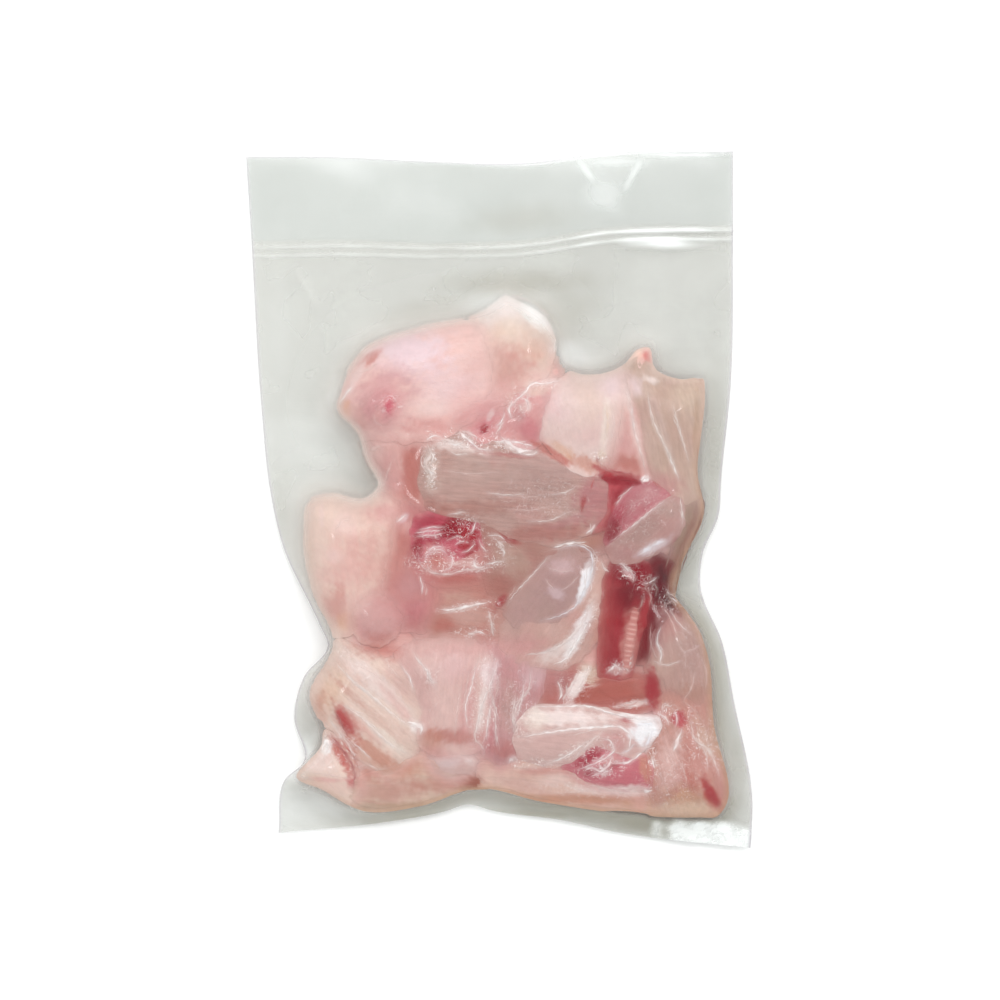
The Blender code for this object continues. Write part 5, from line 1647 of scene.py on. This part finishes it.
def make_back(pile, material):
    """The lower ply, flat under the fish and just below the upper one round it."""
    plan, _, mouth, columns = film_plan(BACK_SHARE)
    x, y = plan[..., 0], plan[..., 1]
    depth = pile.field.read(pile.depth, x, y)
    foot = pile.field.read(pile.foot, x, y)
    skirt = skirt_height(x, y, depth)
    skirt = blend(widened(skirt, BACK_WIDE_ROUNDS), skirt, far_off(depth))
    from_end = np.arange(len(plan))[:, None] * (BODY_LENGTH / (FILM_ROWS * BACK_SHARE))
    inward = smooth(np.minimum(from_sides(plan, columns), from_end), 0, 7 * MM)
    apart = PLY_GAP / 2 + PLIES_APART * inward
    most = np.maximum(np.where(depth > 0, foot - UNDER_FISH, skirt - apart), BACK_REST)
    height = -settle(-most, -most, BACK_ROUNDS, BACK_PULL)
    height = np.maximum(blend(most, height, smooth(depth, -4 * MM, 0)), BACK_REST)
    contact = smooth(depth, -0.5 * MM, VEIL_REACH[1])
    none = np.zeros(x.shape)
    haze, tone, crimp = film_look(x, y, depth, mouth, contact, none, none, none)
    matte = 0.8 * (1 - in_header(mouth)) + none
    y = y - LOWER_LIP_BACK * mouth**6 * swell(x / MM, *LOWER_LIP)
    return add_mesh("film_back", points_at(x, y, height), grid_faces(*x.shape, flip=True),
                    material, haze=haze, seal=none, crimp=crimp, matte=matte, tone=tone)


# Materials
def new_material(name):
    material = bpy.data.materials.new(name)
    material.use_nodes = True
    tree = material.node_tree
    return material, tree, tree.nodes["Principled BSDF"], tree.nodes["Material Output"]


def node(tree, kind, inputs=None, **settings):
    made = tree.nodes.new(kind)
    for key, value in settings.items():
        setattr(made, key, value)
    for key, value in (inputs or {}).items():
        if isinstance(value, bpy.types.NodeSocket):
            tree.links.new(value, made.inputs[key])
        else:
            made.inputs[key].default_value = value
    return made


def reading(tree, name, output="Fac"):
    """What the mesh says at each point under this name."""
    return node(tree, "ShaderNodeAttribute", attribute_name=name).outputs[output]


def noise(tree, vector, scale, detail=3.0, roughness=0.5, distortion=0.0):
    inputs = {"Vector": vector, "Scale": scale, "Detail": detail, "Roughness": roughness,
              "Distortion": distortion}
    return node(tree, "ShaderNodeTexNoise", inputs).outputs["Fac"]


def stretch(tree, value, low, high, to_low, to_high):
    inputs = {0: value, 1: low, 2: high, 3: to_low, 4: to_high}
    return node(tree, "ShaderNodeMapRange", inputs).outputs[0]


def combine(tree, operation, first, second, clamp=False):
    made = node(tree, "ShaderNodeMath", {0: first, 1: second}, operation=operation)
    made.use_clamp = clamp
    return made.outputs[0]


def scaled(tree, vector, scale, shift=0.0):
    inputs = {"Vector": vector, "Location": (shift, shift, 0), "Scale": scale}
    return node(tree, "ShaderNodeMapping", inputs).outputs[0]


def set_inputs(shader, values):
    for key, value in values.items():
        shader.inputs[key].default_value = value


def wrinkle_glints(tree, grain, amount):
    """Painted highlights: fine bright lines, each with a dim line of painted shade beside it, where
    the film is crinkled.
    """
    bright, dim = 0.0, 0.0
    for shift, stretched, level in WRINKLE_GLINTS:
        where = scaled(tree, grain, stretched, shift)
        lump = noise(tree, where, 1.0, 2.0, distortion=1.0)
        broken = stretch(tree, noise(tree, where, 2.1, 1.0), 0.42, 0.56, 0.0, 1.0)
        off, beside = (combine(tree, "ABSOLUTE", combine(tree, "SUBTRACT", lump, at), 0.0)
                       for at in (level, level - 0.035))
        line = combine(tree, "MULTIPLY", stretch(tree, off, 0.006, 0.020, 0.85, 0.0), broken)
        shadow = combine(tree, "MULTIPLY", stretch(tree, beside, 0.0, 0.03, 0.22, 0.0), broken)
        bright = combine(tree, "MAXIMUM", bright, line)
        dim = combine(tree, "MAXIMUM", dim, shadow)
    return combine(tree, "MULTIPLY", bright, amount), combine(tree, "MULTIPLY", dim, amount)


def flesh_material(name, roughness, coat, scatter):
    """Wet raw fish: its tone from the mesh, with fibres along the grain, fine mottling, and painted
    highlights and painted shade lines where the film over it is crinkled.
    """
    material, tree, shader, _ = new_material(name)
    grain = reading(tree, "grain", "Vector")
    fibre = noise(tree, scaled(tree, grain, (0.10, 1.0, 0.5)), 1.0, 4.0, 0.6)
    mottle = noise(tree, grain, 0.35, 4.0, 0.6)
    fibrous = reading(tree, "fibrous")
    shade = combine(tree, "MULTIPLY", stretch(tree, fibre, 0.3, 0.7, -0.14, 0.10), fibrous)
    blotch = stretch(tree, mottle, 0.3, 0.7, 0.95, 1.045)
    # Painted highlights of crinkled film, and the painted shade lines beside them
    bright, dim = wrinkle_glints(tree, grain, reading(tree, "crumpled"))
    factor = combine(tree, "SUBTRACT", combine(tree, "ADD", shade, blotch), dim)
    grey = node(tree, "ShaderNodeCombineColor", {0: factor, 1: factor, 2: factor}).outputs[0]
    toned = {"Factor": 1.0, "A": reading(tree, "tone", "Color"), "B": grey}
    mixed = node(tree, "ShaderNodeMix", toned, data_type="RGBA", blend_type="MULTIPLY")
    lit = {"Factor": bright, "A": mixed.outputs["Result"], "B": GLINT}
    glinting = node(tree, "ShaderNodeMix", lit, data_type="RGBA")
    relief = combine(tree, "ADD", fibre, noise(tree, grain, 1.6, 3.0, 0.55))
    bump = node(tree, "ShaderNodeBump", {"Strength": 0.3, "Distance": 0.0004, "Height": relief})
    rough = stretch(tree, mottle, 0.3, 0.7, roughness - 0.06, roughness + 0.08)
    tree.links.new(glinting.outputs["Result"], shader.inputs["Base Color"])
    tree.links.new(rough, shader.inputs["Roughness"])
    tree.links.new(bump.outputs[0], shader.inputs["Normal"])
    set_inputs(shader, {
        "Subsurface Weight": scatter, "Subsurface Radius": (0.9, 0.75, 0.7),
        "Subsurface Scale": 0.001, "Coat Weight": coat, "Coat Roughness": 0.08,
        "Specular IOR Level": 0.15, "IOR": 1.38,
    })
    return material


def film_material(name):
    """Clear film: nearly unseen where it clings to the fish, a grey haze where it hangs free, with
    painted sparkle and painted glint lines on its crinkled corner.
    """
    material, tree, shader, output = new_material(name)
    crimp = reading(tree, "crimp")
    where = node(tree, "ShaderNodeTexCoord").outputs["Object"]
    cloud = noise(tree, where, 38.0, 3.0, 0.5)
    clouded = stretch(tree, cloud, 0.3, 0.7, 0.93, 1.07)
    haze = combine(tree, "MULTIPLY", reading(tree, "haze"), clouded)
    facets = node(tree, "ShaderNodeTexVoronoi",
                  {"Vector": scaled(tree, where, (260.0, 420.0, 260.0)), "Scale": 1.0})
    facet = node(tree, "ShaderNodeSeparateColor", {0: facets.outputs["Color"]}).outputs[0]
    # Painted sparkle and glint lines on the crinkled corner: they raise the haze, whose tone there
    # is painted white
    spark = stretch(tree, facet, 0.45, 0.95, 0.0, 0.3)
    bright, _ = wrinkle_glints(tree, scaled(tree, where, (1000.0, 1000.0, 1000.0)), crimp)
    sharp = combine(tree, "ADD", bright, combine(tree, "MULTIPLY", crimp, spark))
    alpha = combine(tree, "ADD", haze, sharp, clamp=True)
    matte = combine(tree, "MULTIPLY", reading(tree, "matte"), 0.5)
    rough = combine(tree, "ADD", stretch(tree, cloud, 0.3, 0.7, 0.10, 0.20), matte)
    crease = noise(tree, scaled(tree, where, (60.0, 420.0, 60.0)), 3.0, 3.0, 0.6)
    dash = noise(tree, scaled(tree, where, (300.0, 900.0, 300.0)), 1.0, 1.0, 0.5)
    crimped = combine(tree, "MULTIPLY", dash, reading(tree, "seal"))
    tilt = combine(tree, "MULTIPLY", facets.outputs["Distance"], facet)
    shard = combine(tree, "MULTIPLY", tilt, combine(tree, "MULTIPLY", crimp, 4.0))
    waves = combine(tree, "ADD", combine(tree, "ADD", cloud, crease), crimped)
    waves = combine(tree, "ADD", waves, shard)
    bump = node(tree, "ShaderNodeBump", {"Strength": 0.25, "Distance": 0.0006, "Height": waves})
    tree.links.new(reading(tree, "tone", "Color"), shader.inputs["Base Color"])
    tree.links.new(rough, shader.inputs["Roughness"])
    tree.links.new(bump.outputs[0], shader.inputs["Normal"])
    set_inputs(shader, {"IOR": 1.75})
    gone = node(tree, "ShaderNodeBsdfTransparent", {"Color": (1.0, 1.0, 1.0, 1.0)})
    both = node(tree, "ShaderNodeMixShader", {0: alpha, 1: gone.outputs[0], 2: shader.outputs[0]})
    tree.links.new(both.outputs[0], output.inputs["Surface"])
    return material


def floor_material():
    material, tree, shader, _ = new_material("white_table")
    where = node(tree, "ShaderNodeTexCoord").outputs["Object"]
    value = stretch(tree, noise(tree, where, 12.0, 2.0), 0.3, 0.7, 0.935, 0.95)
    colour = node(tree, "ShaderNodeCombineColor", {0: value, 1: value, 2: value}).outputs[0]
    tree.links.new(colour, shader.inputs["Base Color"])
    set_inputs(shader, {"Roughness": 0.9})
    return material


# Stage
def area_light(name, place_at, size, power):
    data = bpy.data.lights.new(name, "AREA")
    data.shape = "RECTANGLE"
    data.size, data.size_y = size
    data.energy = power
    lamp = put(name, data)
    lamp.location = place_at
    lamp.rotation_euler = (-Vector(place_at)).to_track_quat("-Z", "Y").to_euler()


def make_table():
    mesh = bpy.data.meshes.new("table_top")
    reach = TABLE_REACH
    corners = [(-reach, -reach, 0), (reach, -reach, 0), (reach, reach, 0), (-reach, reach, 0)]
    mesh.from_pydata(corners, [], [(0, 1, 2, 3)])
    mesh.materials.append(floor_material())
    put("table_top", mesh)


def make_lights():
    world = bpy.context.scene.world or bpy.data.worlds.new("studio")
    bpy.context.scene.world = world
    world.use_nodes = True
    set_inputs(world.node_tree.nodes["Background"], {"Color": SKY_COLOUR, "Strength": SKY})
    for lamp in LAMPS:
        area_light(*lamp)


def make_camera():
    data = bpy.data.cameras.new("camera")
    data.lens = LENS
    data.sensor_width = SENSOR
    camera = put("camera", data)
    camera.location = (0, 0, AIM_HEIGHT + PICTURE_SIDE * POINT * LENS / SENSOR)
    camera.rotation_euler = (0, 0, 0)
    bpy.context.scene.camera = camera
    bpy.context.scene.view_settings.view_transform = "Standard"


def build():
    low, high = cad_box
    pile = Pile([low[k] - FIELD_MARGIN for k in (0, 1)], [high[k] + FIELD_MARGIN for k in (0, 1)])
    flesh = flesh_material("raw_flesh", roughness=0.40, coat=0.24, scatter=0.3)
    gristle = flesh_material("gristle", roughness=0.34, coat=0.4, scatter=0.2)
    pieces = [make_chunk(pile, form, flesh) for form in pile.forms]
    pieces += [make_core(pile, flesh), make_strands(pile, gristle), make_spine(pile, gristle)]
    for piece in pieces:
        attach(piece, "root")
    clear = film_material("clear_film")
    front, back = make_front(pile, clear), make_back(pile, clear)
    for piece in (front, back):
        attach(piece, "root")
    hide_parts(NODE)


build()
make_table()
make_lights()
make_camera()
